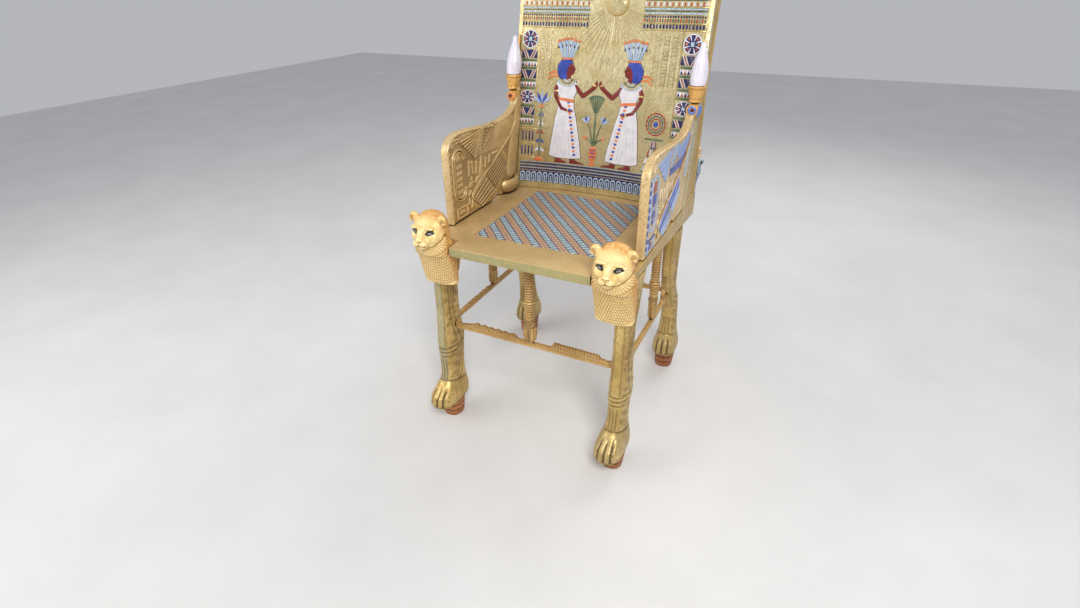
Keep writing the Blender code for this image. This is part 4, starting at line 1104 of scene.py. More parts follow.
def build_right_head():
    head = copy_of("lion_head_right", "lion_head_carved")
    places = points_of(head)
    x = places[:, 0] - HEAD_X
    face = read_off(FACE_LEVELS, places[:, 2])
    face *= np.clip(1.0 - (np.abs(x) / read_off(FACE_HALVES, places[:, 2])) ** 2.4, 0.0, 1.0) ** 0.5
    ruff = -0.012 + 0.034 * np.clip(1.0 - (np.abs(x) / 0.047) ** 2.4, 0.0, 1.0) ** 0.5
    face = np.where(places[:, 2] < 0.56, np.maximum(face, ruff), face)
    on_face = (places[:, 2] > 0.51) & (places[:, 1] < FRONT_Y)
    places[:, 1] = np.where(on_face, np.maximum(places[:, 1], FRONT_Y - face), places[:, 1])
    move_points(head, places)
    clay = [head]
    for (across, forward, level), radii, lean in CLAY:
        for hand in ((-1, 1) if across else (1,)):
            middle = (HEAD_X + hand * across, FRONT_Y - forward, level)
            clay.append(blob(middle, radii, (-lean, 0.0, 0.0)))
    head = join(clay, "lion_head_carved")
    remesh(head, HEAD_VOXEL, 7)
    places = points_of(head)
    normals = normals_of(head)
    x = places[:, 0] - HEAD_X
    f = FRONT_Y - places[:, 1]
    z = places[:, 2]
    push = np.zeros(places.shape)
    face_painted_shade = carve_face(x, f, z, push)
    high, mane_painted_shade, mane = carve_mane(x, f, z)
    at_board = (z < SEAT_TOP + 0.003) * (z > SEAT_UNDER - 0.003)
    clear = 1.0 - (f < 0.0005) * (places[:, 0] < NOTCH_SIDE) * at_board
    high *= clear
    places += push + normals * (high - 0.0004 * mane * clear)[:, None]
    places[:, 0] = np.minimum(places[:, 0], cad_high.x)
    places[:, 1] = np.maximum(places[:, 1], cad_low.y + 0.0001)
    places[:, 2] = np.maximum(places[:, 2], MANE_BOTTOM)
    move_points(head, places)
    # Painted shade of the face's grooves and the mane's gaps.
    set_shade(head, "hollow", np.clip(np.maximum(face_painted_shade, mane_painted_shade * clear), 0.0, 1.0))
    sides = soft_step(behind_front(f, z), 0.0072, 0.0272) + 0.25 * (z < 0.515)
    set_shade(head, "tone", np.clip(sides, 0.0, 1.0))
    smooth(head, 60)
    dress(head, head_gold)
    parts = [head]
    bpy.context.view_layer.update()
    for hand in (-1, 1):
        parts += add_eye(head, hand)
    return join(parts, "lion_head_right_carved")


def build_heads():
    right = build_right_head()
    left = mirror_copy(right, "lion_head_left_carved")
    seat_pair(right, left, "bright_gilding", "lion_head")

# The arms

ARM_MIDDLE = ARM_OUTER - 0.5 * ARM_THICK
ARM_INNER = ARM_OUTER - ARM_THICK
ARM_VOXEL = 0.0013
NECK_RIDGE = ((0.465, 0.736), (0.45, 0.711), (0.408, 0.671), (0.362, 0.646))
LOWER_EDGE = ((0.362, 0.646), (0.3035, 0.615), (0.2555, 0.5985), (0.206, 0.5685), (0.197, 0.5355))
UPPER_WING = [(0.15, 0.713), (0.178, 0.694), (0.19, 0.677), (0.207, 0.662), (0.226, 0.654), (0.3, 0.65),
              (0.362, 0.646), (0.408, 0.671), (0.444, 0.705), (0.424, 0.724), (0.4, 0.716), (0.352, 0.711),
              (0.26, 0.716), (0.18, 0.722)]
LOWER_WING = [(0.362, 0.646), (0.3035, 0.615), (0.2555, 0.5985), (0.206, 0.5685), (0.197, 0.5355),
              (0.232, 0.519),
              (0.288, 0.52), (0.343, 0.539), (0.372, 0.576), (0.392, 0.62)]
BODY_LINE = ((0.466, 0.744), (0.452, 0.7), (0.432, 0.655), (0.416, 0.612), (0.406, 0.575))
OVAL = (0.1545, 0.629)
OVAL_HALF = (0.0265, 0.062)
COIL = (0.3935, 0.54)
COIL_HALF = (0.023, 0.044, 0.027)


def fan_of(first_root, last_root, first_tip, last_tip, count):
    """Feather lines from root to tip, spread evenly over a fan."""
    lines = []
    for i in range(count):
        share = i / (count - 1)
        root = tuple(a + (b - a) * share for a, b in zip(first_root, last_root))
        tip = tuple(a + (b - a) * share for a, b in zip(first_tip, last_tip))
        lines.append((root, tip))
    return lines


UPPER_LONG = fan_of((0.276, 0.716), (0.252, 0.684), (0.168, 0.706), (0.226, 0.656), 8)
UPPER_SHORT = fan_of((0.326, 0.714), (0.298, 0.686), (0.288, 0.712), (0.266, 0.668), 7)
LOWER_LONG = fan_of((0.268, 0.598), (0.314, 0.545), (0.201, 0.56), (0.246, 0.524), 6)
LOWER_SHORT = fan_of((0.352, 0.636), (0.378, 0.59), (0.272, 0.6), (0.32, 0.552), 8)


def arm_edge():
    """The arm's outline from its front foot over the top to the serpent's neck."""
    edge = [(ARM_FRONT, SEAT_TOP + 0.0003)]
    edge += round_loop((ARM_FRONT + 0.0588, ARM_TOP - 0.042), 0.0588, 0.042, 14, 180.0, 90.0)
    edge += [(0.215, 0.7276), (0.2605, 0.7228), (0.31, 0.719), (0.3521, 0.718), (0.38, 0.72), (0.4039, 0.724),
             (0.424, 0.7312), (0.4404, 0.741), (0.447, 0.75), (0.4502, 0.76)]
    return edge


def stand_up(plate, x):
    """Stands a plate drawn in (y, z) up beside the seat."""
    places = points_of(plate)
    move_points(plate, np.stack((x + places[:, 2], FRONT_Y + places[:, 0], places[:, 1]), axis=1))
    face_out(plate)
    return plate

def arm_board():
    outline = arm_edge() + [(0.485, 0.7636), (0.4357, 0.5173), (0.3503, 0.5173), (0.3443, 0.5353),
                            (0.2903, 0.5173)]
    return stand_up(cut_sheet("arm_board", [outline], ARM_THICK, arm_gold, 0.004, 0.0, 3), ARM_MIDDLE)

def oval_line(grow):
    """A long ring with straight sides and round ends."""
    half = OVAL_HALF[0] * grow
    rise = OVAL_HALF[1] - OVAL_HALF[0]
    top = round_loop((OVAL[0], OVAL[1] + rise), half, half, 14, 0.0, 180.0)
    foot = round_loop((OVAL[0], OVAL[1] - rise), half, half, 14, 180.0, 360.0)
    return top + foot


ARM_RELIEF = 1.5
SMALL_MARKS = (
    ((0.195, 0.618), (0.199, 0.65), 0.007, 0.0095),
    ((0.2115, 0.646), (0.214, 0.617), 0.0085, 0.006),
    ((0.203, 0.6065), (0.2055, 0.608), 0.008, 0.008),
    ((0.2265, 0.616), (0.232, 0.641), 0.005, 0.009),
    ((0.251, 0.605), (0.255, 0.65), 0.025, 0.004),
    ((0.272, 0.618), (0.277, 0.639), 0.006, 0.009),
    ((0.291, 0.625), (0.296, 0.641), 0.006, 0.0085),
    ((0.312, 0.643), (0.336, 0.643), 0.0075, 0.005),
    ((0.199, 0.592), (0.207, 0.596), 0.016, 0.012),
    ((0.224, 0.594), (0.234, 0.604), 0.0085, 0.006),
    ((0.19, 0.57), (0.198, 0.578), 0.0085, 0.007),
    ((0.187, 0.548), (0.19, 0.56), 0.0075, 0.007),
    ((0.126, 0.703), (0.137, 0.714), 0.005, 0.005),
    ((0.137, 0.714), (0.154, 0.716), 0.005, 0.004),
    ((0.133, 0.7), (0.142, 0.707), 0.004, 0.004),
    ((0.142, 0.707), (0.156, 0.708), 0.004, 0.004),
)
FOOT_FRAME = ((0.134, 0.549), (0.177, 0.549), (0.177, 0.526), (0.134, 0.526), (0.134, 0.549))
FOOT_BLOCK = ((0.148, 0.5375), (0.163, 0.5375))
OVAL_DISC = ((0.1545, 0.6705), (0.1546, 0.6706))
COVERT = ((0.392, 0.692), (0.35, 0.69))
EDGE_SQUARES = [((0.1185, 0.536 + 0.0185 * i), (0.1185, 0.536 + 0.0185 * i + 0.0055)) for i in range(9)]
OVAL_ROWS = (0.65, 0.635, 0.62, 0.605, 0.59)


def oval_strokes():
    """Rows of short slanted strokes inside the oval."""
    strokes = []
    for level in OVAL_ROWS:
        for i in range(3):
            y = OVAL[0] + 0.0074 * (i - 1)
            strokes.append(((y - 0.0018, level - 0.0042), (y + 0.0018, level + 0.0042)))
    return strokes


def arm_relief(y, z):
    """Height of the carving on the arm's inner face."""
    edge, _ = near_line(y, z, arm_edge())
    round_back = np.sqrt(np.clip(1.0 - ((edge - 0.0035) / 0.004) ** 2, 0.0, 1.0))
    high = np.where(edge < 0.0075, 0.0014 * round_back, 0.0)
    for field, shoulder in ((UPPER_WING, 0.004), (LOWER_WING, 0.003)):
        high = np.maximum(high, pad(y, z, field, shoulder, 0.0009))
    for lines, wide, tall, end_wide in (
        (UPPER_LONG, 0.005, 0.003, 0.007),
        (UPPER_SHORT, 0.0042, 0.0028, 0.005),
        (LOWER_LONG, 0.0058, 0.003, 0.007),
        (LOWER_SHORT, 0.0044, 0.0022, 0.0056),
        ((oval_line(1.0), oval_line(0.72)), 0.0048, 0.0026, None),
        (oval_strokes(), 0.0036, 0.002, None),
        (EDGE_SQUARES, 0.0072, 0.002, None),
        ((COVERT,), 0.046, 0.0026, None),
        ((NECK_RIDGE,), 0.0046, 0.004, None),
        ((LOWER_EDGE,), 0.005, 0.003, None),
        ((OVAL_DISC,), 0.021, 0.0022, None),
        ((FOOT_FRAME,), 0.0036, 0.002, None),
        ((FOOT_BLOCK,), 0.01, 0.002, None),
    ):
        for line in lines:
            high = np.maximum(high, ridge(y, z, line, wide, tall, end_wide))
    for start, end, start_wide, end_wide in SMALL_MARKS:
        high = np.maximum(high, ridge(y, z, (start, end), start_wide, 0.0024, end_wide))
    free = soft_step(0.4835 + 0.2 * (z - SERPENT_Z) - y, 0.0, 0.004)
    return np.maximum(high, ridge(y, z, BODY_LINE, 0.034, 0.004, 0.046) * free)

def serpent_head():
    """The serpent's head: gold, with an enamelled hood and eye, and a gold ring round its front."""
    middle = (ARM_OUTER - 0.0035, FRONT_Y + SERPENT_Y, SERPENT_Z)
    parts = []
    for shift, radii, finish in (
        ((0.0, 0.0, 0.0), (0.016, 0.02, 0.0184), rim_gold),
        ((0.0062, 0.0, -0.001), (0.0112, 0.0165, 0.0158), hood_blue),
        ((-0.003, -0.0158, 0.0005), (0.0112, 0.0052, 0.0118), hood_blue),
        ((-0.001, -0.02, 0.0022), (0.0056, 0.0026, 0.005), eye_brown),
        ((-0.001, -0.022, 0.0022), (0.0026, 0.0014, 0.0024), black),
    ):
        egg = blob(tuple(a + b for a, b in zip(middle, shift)), radii)
        dress(egg, finish)
        parts.append(egg)
    bpy.ops.mesh.primitive_torus_add(major_radius=0.0116, minor_radius=0.0021, major_segments=32,
                                     minor_segments=10,
                                     location=(middle[0] - 0.003, middle[1] - 0.016, middle[2] + 0.0005),
                                     rotation=(math.radians(90.0), 0.0, math.radians(12.0)))
    ring = bpy.context.object
    bpy.ops.object.transform_apply(location=True, rotation=True, scale=True)
    dress(ring, rim_gold)
    parts.append(ring)
    return parts


def lay_on_arm(plate, lift):
    """Puts a plate on the outer face of the right arm."""
    return stand_up(plate, ARM_OUTER + lift)

def outer_inlays():
    """Glass inlays of the outer face, one sheet for each colour."""
    groups = {"sky": [], "blue": [], "periwinkle": [], "red": [], "pale_blue": [], "line": []}
    for i, (root, tip) in enumerate(UPPER_LONG):
        groups["periwinkle" if i % 2 else "sky"].append(strip_loop(root, tip, 0.0046, 0.0072))
    for i, (root, tip) in enumerate(UPPER_SHORT):
        groups["blue" if i > 5 else "sky"].append(strip_loop(root, tip, 0.0046, 0.005))
    groups["periwinkle"].append([(0.324, 0.708), (0.322, 0.678), (0.372, 0.676), (0.405, 0.686),
                                 (0.436, 0.709),
                                 (0.422, 0.718), (0.4, 0.711), (0.352, 0.706)])
    groups["blue"].append([(0.268, 0.666), (0.262, 0.657), (0.33, 0.654), (0.362, 0.652), (0.404, 0.678),
                           (0.398, 0.68), (0.37, 0.671), (0.32, 0.672)])
    for i, (root, tip) in enumerate(LOWER_LONG):
        groups[("sky", "periwinkle", "blue", "periwinkle", "sky", "sky")[i]].append(strip_loop(root, tip,
                0.0062, 0.0074))
    for i, (root, tip) in enumerate(LOWER_SHORT):
        groups[("sky", "sky", "blue", "periwinkle", "blue", "sky", "sky", "sky")[i]].append(
            strip_loop(root, tip, 0.0044, 0.0056))
    body = path_loop([(0.462, 0.735), (0.452, 0.7), (0.432, 0.655), (0.416, 0.612)],
                     [0.014, 0.022, 0.026, 0.024])
    groups["pale_blue"].append(body)
    for i in range(11):
        z = 0.62 + 0.0105 * i
        y = np.interp(z, [0.612, 0.655, 0.7, 0.735], [0.416, 0.432, 0.452, 0.462])
        groups["line"].append(strip_loop((y - 0.01, z + 0.002), (y + 0.01, z - 0.002), 0.0014, 0.0014))
    for i in range(19):
        z = 0.528 + 0.0088 * i
        groups["blue" if i % 2 else "sky"].append(box_loop(0.117, z, 0.1245, z + 0.0066))
    groups["sky"] += [oval_line(1.0), oval_line(0.76)]
    groups["red"].append(box_loop(0.146, 0.656, 0.163, 0.676))
    groups["blue"] += [box_loop(0.144, 0.628, 0.153, 0.65), box_loop(0.156, 0.628, 0.165, 0.65),
                       box_loop(0.145, 0.6, 0.164, 0.612), box_loop(0.147, 0.586, 0.154, 0.595)]
    groups["periwinkle"] += [box_loop(0.145, 0.616, 0.164, 0.6235), box_loop(0.156, 0.586, 0.162, 0.595)]
    groups["sky"] += [box_loop(0.131, 0.52, 0.135, 0.548), box_loop(0.174, 0.52, 0.178, 0.548)]
    groups["blue"] += [box_loop(0.131, 0.55, 0.178, 0.5545), box_loop(0.14, 0.53, 0.156, 0.544)]
    finishes = {"sky": sky, "blue": blue, "periwinkle": periwinkle, "red": red, "pale_blue": pale_blue,
                "line": line_gold}
    plates = []
    for key, loops in groups.items():
        lift = 0.0013 if key == "line" else 0.0005
        plates.append(lay_on_arm(cut_sheet("arm_" + key, loops, 0.0018, finishes[key], 0.0003), lift))
    for line in (NECK_RIDGE, LOWER_EDGE):
        plate = cut_sheet("arm_edge_line", [path_loop(list(line), [0.003] * len(line))], 0.003, rim_gold,
                          0.0006)
        plates.append(lay_on_arm(plate, 0.001))
    for start, end, start_wide, end_wide in SMALL_MARKS:
        strip = strip_loop(start, end, 0.8 * start_wide, 0.8 * end_wide)
        plates.append(lay_on_arm(cut_sheet("arm_mark", [strip], 0.003, cream, 0.001), 0.0006))
    return plates


def carved_board():
    """The arm's board with the relief of its inner face."""
    board = arm_board()
    remesh(board, ARM_VOXEL, 2)
    places = points_of(board)
    y = places[:, 1] - FRONT_Y
    z = places[:, 2]
    rim, _ = near_line(y, z, arm_edge())
    inner = normals_of(board)[:, 0] < -0.6
    places[:, 0] -= np.where(inner, ARM_RELIEF * arm_relief(y, z) - 0.0006 * (rim > 0.008), 0.0)
    move_points(board, places)
    thin_out(board, 0.5)
    places = points_of(board)
    y = places[:, 1] - FRONT_Y
    z = places[:, 2]
    inner = places[:, 0] < ARM_MIDDLE
    high = arm_relief(y, z)
    rim, _ = near_line(y, z, arm_edge())
    # Painted shade on the relief's sunken ground and in the gaps between feathers.
    ground = np.clip((0.0011 - high) / 0.0011, 0.0, 1.0) * soft_step(rim, 0.006, 0.009)
    feathered = np.zeros(y.shape)
    for line in UPPER_LONG + UPPER_SHORT + LOWER_LONG + LOWER_SHORT:
        feathered = np.maximum(feathered, ridge(y, z, line, 0.01, 1.0, 0.0115))
    feather_gap_shade = soft_step(feathered, 0.2, 0.6) * np.clip((0.0022 - high) / 0.0013, 0.0, 1.0)
    set_shade(board, "hollow", np.where(inner, np.maximum(0.3 * ground, 0.75 * feather_gap_shade), 0.0))
    set_shade(board, "tone", np.where(inner & (rim > 0.009), 0.0, 1.0))
    dress(board, arm_gold)
    smooth(board, 60)
    return board

def arm_coil():
    """The serpent's coil, a bulging dish against the arm's inner face."""
    coil = blob((ARM_INNER + 0.001, FRONT_Y + COIL[0], COIL[1]), COIL_HALF, rings=40)
    dress(coil, arm_gold)
    places = points_of(coil)
    places[:, 0] = np.minimum(places[:, 0], ARM_INNER + 0.01)
    places[:, 2] = np.maximum(places[:, 2], SEAT_TOP + 0.0004)
    reach = np.hypot((places[:, 0] - ARM_INNER) / COIL_HALF[0],
                     (places[:, 1] - FRONT_Y - COIL[0]) / COIL_HALF[1])
    places[:, 2] = np.minimum(places[:, 2], COIL[1] + 0.0085 + 0.007 * soft_step(reach, 0.48, 0.66))
    move_points(coil, places)
    # Painted shade inside the dish and on the coil's lower body.
    dish = soft_step(places[:, 2], COIL[1] + 0.004, COIL[1] + 0.008) * (1.0 - soft_step(reach, 0.5, 0.62))
    below = 1.0 - soft_step(places[:, 2], COIL[1] - 0.005, COIL[1] + 0.011)
    set_shade(coil, "hollow", np.maximum(0.45 * dish, 0.5 * below))
    set_shade(coil, "tone", np.zeros(reach.shape))
    smooth(coil, 50)
    return coil

def build_arms():
    board = carved_board()
    right = join([board, arm_coil()] + serpent_head() + outer_inlays(), "arm_right_carved")
    left = mirror_copy(right, "arm_left_carved")
    for i, finish in enumerate(left.data.materials):
        if finish == hood_blue:
            left.data.materials[i] = hood_orange
    seat_pair(right, left, "gilded_wood", "arm")

# Legs, drums and the turned parts

LEG_VOXEL = 0.0021
PAW_TOP = 0.112
RING_LEVELS = (0.196, 0.209)
SIDE_LINES = (
    ((0.012, 0.47), (0.006, 0.4), (-0.004, 0.33), (0.004, 0.262), (0.012, 0.222)),
    ((-0.016, 0.465), (-0.018, 0.4), (-0.017, 0.33), (-0.013, 0.262), (-0.006, 0.222)),
    ((-0.004, 0.44), (-0.007, 0.385), (-0.011, 0.34)),
    ((0.014, 0.182), (0.004, 0.15), (-0.012, 0.124)),
    ((0.022, 0.172), (0.016, 0.14), (0.000, 0.112)),
)
REAR_SIDE_LINES = (
    ((0.01, 0.47), (0.004, 0.4), (0.004, 0.33), (0.01, 0.27), (0.016, 0.225)),
    ((-0.008, 0.47), (-0.012, 0.4), (-0.01, 0.33), (-0.002, 0.27), (0.008, 0.22), (0.01, 0.16)),
    ((-0.01, 0.235), (-0.004, 0.19), (-0.006, 0.14)),
    ((0.018, 0.182), (0.008, 0.15), (-0.008, 0.122)),
)


def sections_of(places, step=0.006):
    """Middle and half size across and along, read from a piece's own levels."""
    z = places[:, 2]
    low = z.min()
    count = int((z.max() - low) / step) + 1
    level = np.clip(((z - low) / step).astype(int), 0, count - 1)
    table = []
    for i in range(count):
        here = places[level == i]
        table.append((low + (i + 0.5) * step, here[:, 0].min(), here[:, 0].max(), here[:, 1].min(),
                      here[:, 1].max()))
    table = np.array(table)
    ease = np.array((0.25, 0.5, 0.25))
    columns = []
    for i in range(1, 5):
        padded = np.pad(table[:, i], 1, mode="edge")
        columns.append(np.interp(z, table[:, 0], np.convolve(padded, ease, mode="valid")))
    x0, x1, y0, y1 = columns
    return 0.5 * (x0 + x1), 0.5 * (x1 - x0), 0.5 * (y0 + y1), 0.5 * (y1 - y0)


def carve_leg(node, side_lines, ringed):
    leg, places, normals = skin_of(node, "_carved", LEG_VOXEL, 4)
    low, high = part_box(node)
    middle_x, half_x, middle_y, half_y = sections_of(places)
    u = (places[:, 0] - middle_x) / half_x
    v = (middle_y - places[:, 1]) / half_y
    z = places[:, 2]
    height = np.zeros(z.shape)
    deep = np.zeros(z.shape)

    def sink(groove, depth, dark):
        # Cuts a groove in and paints shade into it, as strong as dark.
        height[:] -= depth * groove
        deep[:] = np.maximum(deep, dark * groove)

    # Paw: toes parted by grooves, knuckles, claws and the line of the sole
    paw = soft_step(PAW_TOP - z, 0.0, 0.016) * soft_step(v, 0.05, 0.35)
    for across in (-0.5, 0.0, 0.5):
        sink(paw * np.exp(-((u - across) / 0.085) ** 2), 0.0042, 0.95)
    toe = np.cos(2.0 * math.pi * u) * -0.5 + 0.5
    height += paw * 0.0016 * toe * np.exp(-((z - 0.092) / 0.009) ** 2)
    nail = np.clip(1.0 - (2.4 * (np.abs((u * 2.0) % 1.0 - 0.5))) ** 2, 0.0, 1.0)
    claw = paw * nail * np.exp(-((z - 0.066) / 0.005) ** 2)
    height += 0.002 * claw * soft_step(v, 0.6, 0.8)
    sink(np.exp(-((z - 0.0605) / 0.0016) ** 2), 0.001, 0.8)
    sink(np.exp(-((z - PAW_TOP - 0.01 * v) / 0.0022) ** 2), 0.0012, 0.7)
    if ringed:
        front = soft_step(v, -0.75, -0.45)
        for level in RING_LEVELS:
            height += 0.0019 * np.clip(1.0 - ((z - level) / 0.0046) ** 2, 0.0, 1.0) ** 0.5 * front
        for level in (RING_LEVELS[0] - 0.0062, sum(RING_LEVELS) / 2.0, RING_LEVELS[1] + 0.0062):
            sink(np.exp(-((z - level) / 0.0016) ** 2) * front, 0.0006, 0.9)
    # Front strip, tendons and the muscles of the sides
    shin = soft_step(v, 0.0, 0.2) * soft_step(z, 0.215, 0.225)
    for across in (-0.52, 0.52):
        sink(shin * np.exp(-((u - across) / 0.1) ** 2), 0.0014, 0.4)
    tendon = soft_step(v, 0.1, 0.4) * soft_step(z, 0.118, 0.128) * (1.0 - soft_step(z, 0.176, 0.188))
    for across in (-0.36, 0.0, 0.36):
        sink(tendon * np.exp(-((u - across) / 0.09) ** 2), 0.0014, 0.6)
    flank = soft_step(np.abs(u), 0.55, 0.75)
    for line in side_lines:
        sink(ridge(places[:, 1] - middle_y, z, line, 0.009, 1.0, 0.0045) ** 2 * flank, 0.0024, 0.6)
    # Painted shade on the leg's sides, mottled by a wavy pattern.
    grain = np.sin(z * 230.0 + 3.0 * u + 2.0 * np.sin(z * 61.0)) * np.sin(z * 97.0 - 5.0 * v)
    mottled_flank_shade = flank * soft_step(z, 0.115, 0.15) * (1.0 - soft_step(z, 0.36, 0.44))
    deep = np.maximum(deep, 0.42 * mottled_flank_shade * soft_step(grain, -0.2, 0.7))
    fade = soft_step(z, low.z, low.z + 0.003) * soft_step(high.z - z, 0.0, 0.03)
    places += normals * (height * fade)[:, None]
    keep_in_box(places, node)
    move_points(leg, places)
    # Painted shade of the grooves and the leg's sides.
    set_shade(leg, "hollow", np.clip(deep * fade, 0.0, 1.0))
    strip = soft_step(0.5 - np.abs(u), 0.0, 0.05) * soft_step(v, 0.15, 0.35) * soft_step(z, 0.116, 0.126)
    strip *= 0.7 + 0.3 * np.sin(z * 310.0 + 4.0 * u) * np.sin(z * 131.0 - 3.0 * u)
    set_shade(leg, "tone", 0.25 * soft_step(PAW_TOP + 0.02 - z, 0.0, 0.03))
    dress(leg, leg_gold)
    smooth(leg, 60)
    return leg, strip

def build_legs():
    for place, lines, ringed in (("front", SIDE_LINES, True), ("rear", REAR_SIDE_LINES, False)):
        right, strip = carve_leg(f"leg_{place}_right", lines, ringed)
        left = mirror_copy(right, f"leg_{place}_left_carved")
        if ringed:
            set_shade(left, "tone", strip)
        seat_pair(right, left, "gilded_wood", "leg_" + place)

DRUM_VOXEL = 0.0019
DRUM_GROOVES = ((0.14, 0.018), (0.3, 0.04), (0.62, 0.04), (0.86, 0.022))

def build_drums():
    for node in ("drum_front_left", "drum_front_right", "drum_rear_left", "drum_rear_right"):
        drum, places, normals = skin_of(node, "_ringed", DRUM_VOXEL, 2)
        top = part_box(node)[1].z
        side = soft_step(1.0 - np.abs(normals[:, 2]), 0.2, 0.5)
        share = places[:, 2] / top
        deep = np.zeros(share.shape)
        for level, wide in DRUM_GROOVES:
            deep = np.maximum(deep, np.exp(-((share - level) / wide) ** 2))
        places -= normals * (0.0007 * deep * side)[:, None]
        places[:, 2] = np.clip(places[:, 2], 0.0, top)
        # Painted shade in the turned grooves.
        hand_over(drum, places, deep * side * 0.9, drum_wood, "drum_wood", node, 50)

POST_VOXEL = 0.0014
KNOT_LEVEL = 0.331
RIB_PITCH = 0.0068

def build_uprights():
    for node in ("upright_front", "upright_rear", "upright_left", "upright_right"):
        post, places, normals = skin_of(node, "_ribbed", POST_VOXEL, 2)
        middle_x, half_x, middle_y, half_y = sections_of(places, 0.003)
        turn = np.arctan2((places[:, 1] - middle_y) / half_y, (places[:, 0] - middle_x) / half_x)
        z = places[:, 2]
        above = soft_step(z, KNOT_LEVEL + 0.012, KNOT_LEVEL + 0.016)
        rib = 0.5 + 0.5 * np.cos(2.0 * math.pi * (z / RIB_PITCH))
        height = above * 0.0013 * rib - above * 0.0004
        # Painted shade between the ribs, beside the knot's bands and in the parting and veins below the knot.
        deep = above * (1.0 - rib) ** 2 * 0.8
        knot = np.clip(1.0 - np.abs(z - KNOT_LEVEL) / 0.012, 0.0, 1.0) > 0.0
        for hand in (-1.0, 1.0):
            wave = ((z - KNOT_LEVEL) / 0.01 - hand * np.sin(turn)) / 0.42
            band = np.clip(1.0 - wave ** 2, 0.0, 1.0) * knot
            height += 0.0016 * band
            deep = np.maximum(deep, knot * 0.5 * np.clip(1.0 - 2.5 * band, 0.0, 1.0))
        below = 1.0 - soft_step(z, KNOT_LEVEL - 0.016, KNOT_LEVEL - 0.012)
        part = np.exp(-(np.cos(turn) / 0.16) ** 2) * below
        vein = (0.5 + 0.5 * np.cos(turn * 10.0)) ** 2 * below
        height -= 0.0022 * part + 0.0008 * vein
        deep = np.maximum(deep, np.maximum(part * 0.85, vein * 0.5))
        for level in (KNOT_LEVEL - 0.014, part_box(node)[0].z + 0.01):
            height += 0.0012 * np.exp(-((z - level) / 0.0022) ** 2)
        places += normals * height[:, None]
        keep_in_box(places, node)
        hand_over(post, places, np.clip(deep, 0.0, 1.0), bar_gold, "worn_gilding", node)

BAR_VOXEL = 0.0016

def build_stretchers():
    for node in ("stretcher_front", "stretcher_rear", "stretcher_left", "stretcher_right"):
        bar, places, normals = skin_of(node, "_worn", BAR_VOXEL, 1)
        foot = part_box(node)[0].z
        z = places[:, 2]
        run = places[:, 0] if "front" in node or "rear" in node else places[:, 1]
        line = np.exp(-((z - foot - 0.0085) / 0.001) ** 2) * (np.abs(normals[:, 2]) < 0.5)
        chips = np.sin(run * 410.0) * np.sin(run * 173.0 + z * 260.0)
        above = soft_step(z, foot + 0.0125, foot + 0.0135)
        flute = (0.5 + 0.5 * np.cos(run * 2.0 * math.pi / 0.0075)) * above
        height = -0.0005 * line - 0.0004 * np.clip(chips, 0.0, 1.0) - 0.0007 * flute
        places += normals * height[:, None]
        keep_in_box(places, node)
        # Painted shade in the groove line and the flutes.
        hollow = np.clip(np.maximum(line * 0.7, flute * 0.55), 0.0, 1.0)
        hand_over(bar, places, hollow, bar_gold, "worn_gilding", node)

# Crowns and cobras

CUP_VOXEL = 0.0014
BULB_VOXEL = 0.0018
SNAKE_VOXEL = 0.0013
SCUTE_PITCH = 0.0052

def build_crowns():
    for side in ("left", "right"):
        node = "crown_gold_" + side
        cup, places, normals = skin_of(node, "_turned", CUP_VOXEL, 3)
        level = places[:, 2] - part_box(node)[0].z
        deep = np.maximum(np.exp(-((level - 0.0075) / 0.001) ** 2), np.exp(-((level - 0.029) / 0.0008) ** 2))
        places -= normals * (0.0006 * deep)[:, None]
        # Painted shade in the two grooves.
        hand_over(cup, places, deep * 0.8, rim_gold, "gilded_wood", node, 50)
        node = "crown_white_" + side
        bulb = copy_of(node, node + "_turned")
        remesh(bulb, BULB_VOXEL, 8)
        smooth(bulb, 60)
        dress(bulb, crown_white)
        seat_on_frame(bulb, "white_crown", node)

def build_cobras():
    for node in ("cobra_outer_left", "cobra_outer_right", "cobra_inner_left", "cobra_inner_right"):
        snake, places, normals = skin_of(node, "_carved", SNAKE_VOXEL, 2)
        low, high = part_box(node)
        up = (places[:, 2] - low.z) / (high.z - low.z)
        rows = 0.5 + 0.5 * np.cos(places[:, 2] * 2.0 * math.pi / SCUTE_PITCH)
        scute = rows * (up < 0.66) * (np.abs(normals[:, 1]) > 0.5)
        places -= normals * (0.0006 * scute)[:, None]
        keep_in_box(places, node)
        move_points(snake, places)
        # Painted shade in the rows of scales.
        set_shade(snake, "hollow", scute * 0.45)
        set_shade(snake, "tone", soft_step(up, 0.7, 0.72))
        dress(snake, cobra_glaze)
        middle = 0.5 * (low.x + high.x)
        hand = 1.0 if middle > 0.0 else -1.0
        parts = [snake]
        for shift, radii, finish in (
            ((0.0, 0.0), (0.0088, 0.0088, 0.0084), pale_blue),
            ((0.005 * hand, -0.0052), (0.0052, 0.0046, 0.005), black),
            ((0.0074 * hand, -0.0074), (0.0026, 0.0024, 0.0026), iris),
        ):
            egg = blob((middle + 0.011 * hand + shift[0], low.y + 0.0125 + shift[1], high.z - 0.034), radii)
            dress(egg, finish)
            parts.append(egg)
        snake = join(parts, node + "_carved")
        smooth(snake, 50)
        seat_on_frame(snake, "blue_grey_glaze", node)

# The seat

ROW_PITCH = 0.0335
SQUARE_PITCH = 0.0125
EDGE_ROW = (1.0, 0.0, 0.0)
PALE_ROW = (0.0, 1.0, 0.0)
ROSY_ROW = (0.0, 0.0, 1.0)
SEAT_ROWS = ((0.0, EDGE_ROW), (0.065, PALE_ROW), (0.475, EDGE_ROW), (0.54, ROSY_ROW), (0.66, NONE),
             (0.72, EDGE_ROW),
             (0.755, NONE), (0.81, ROSY_ROW), (0.945, NONE))

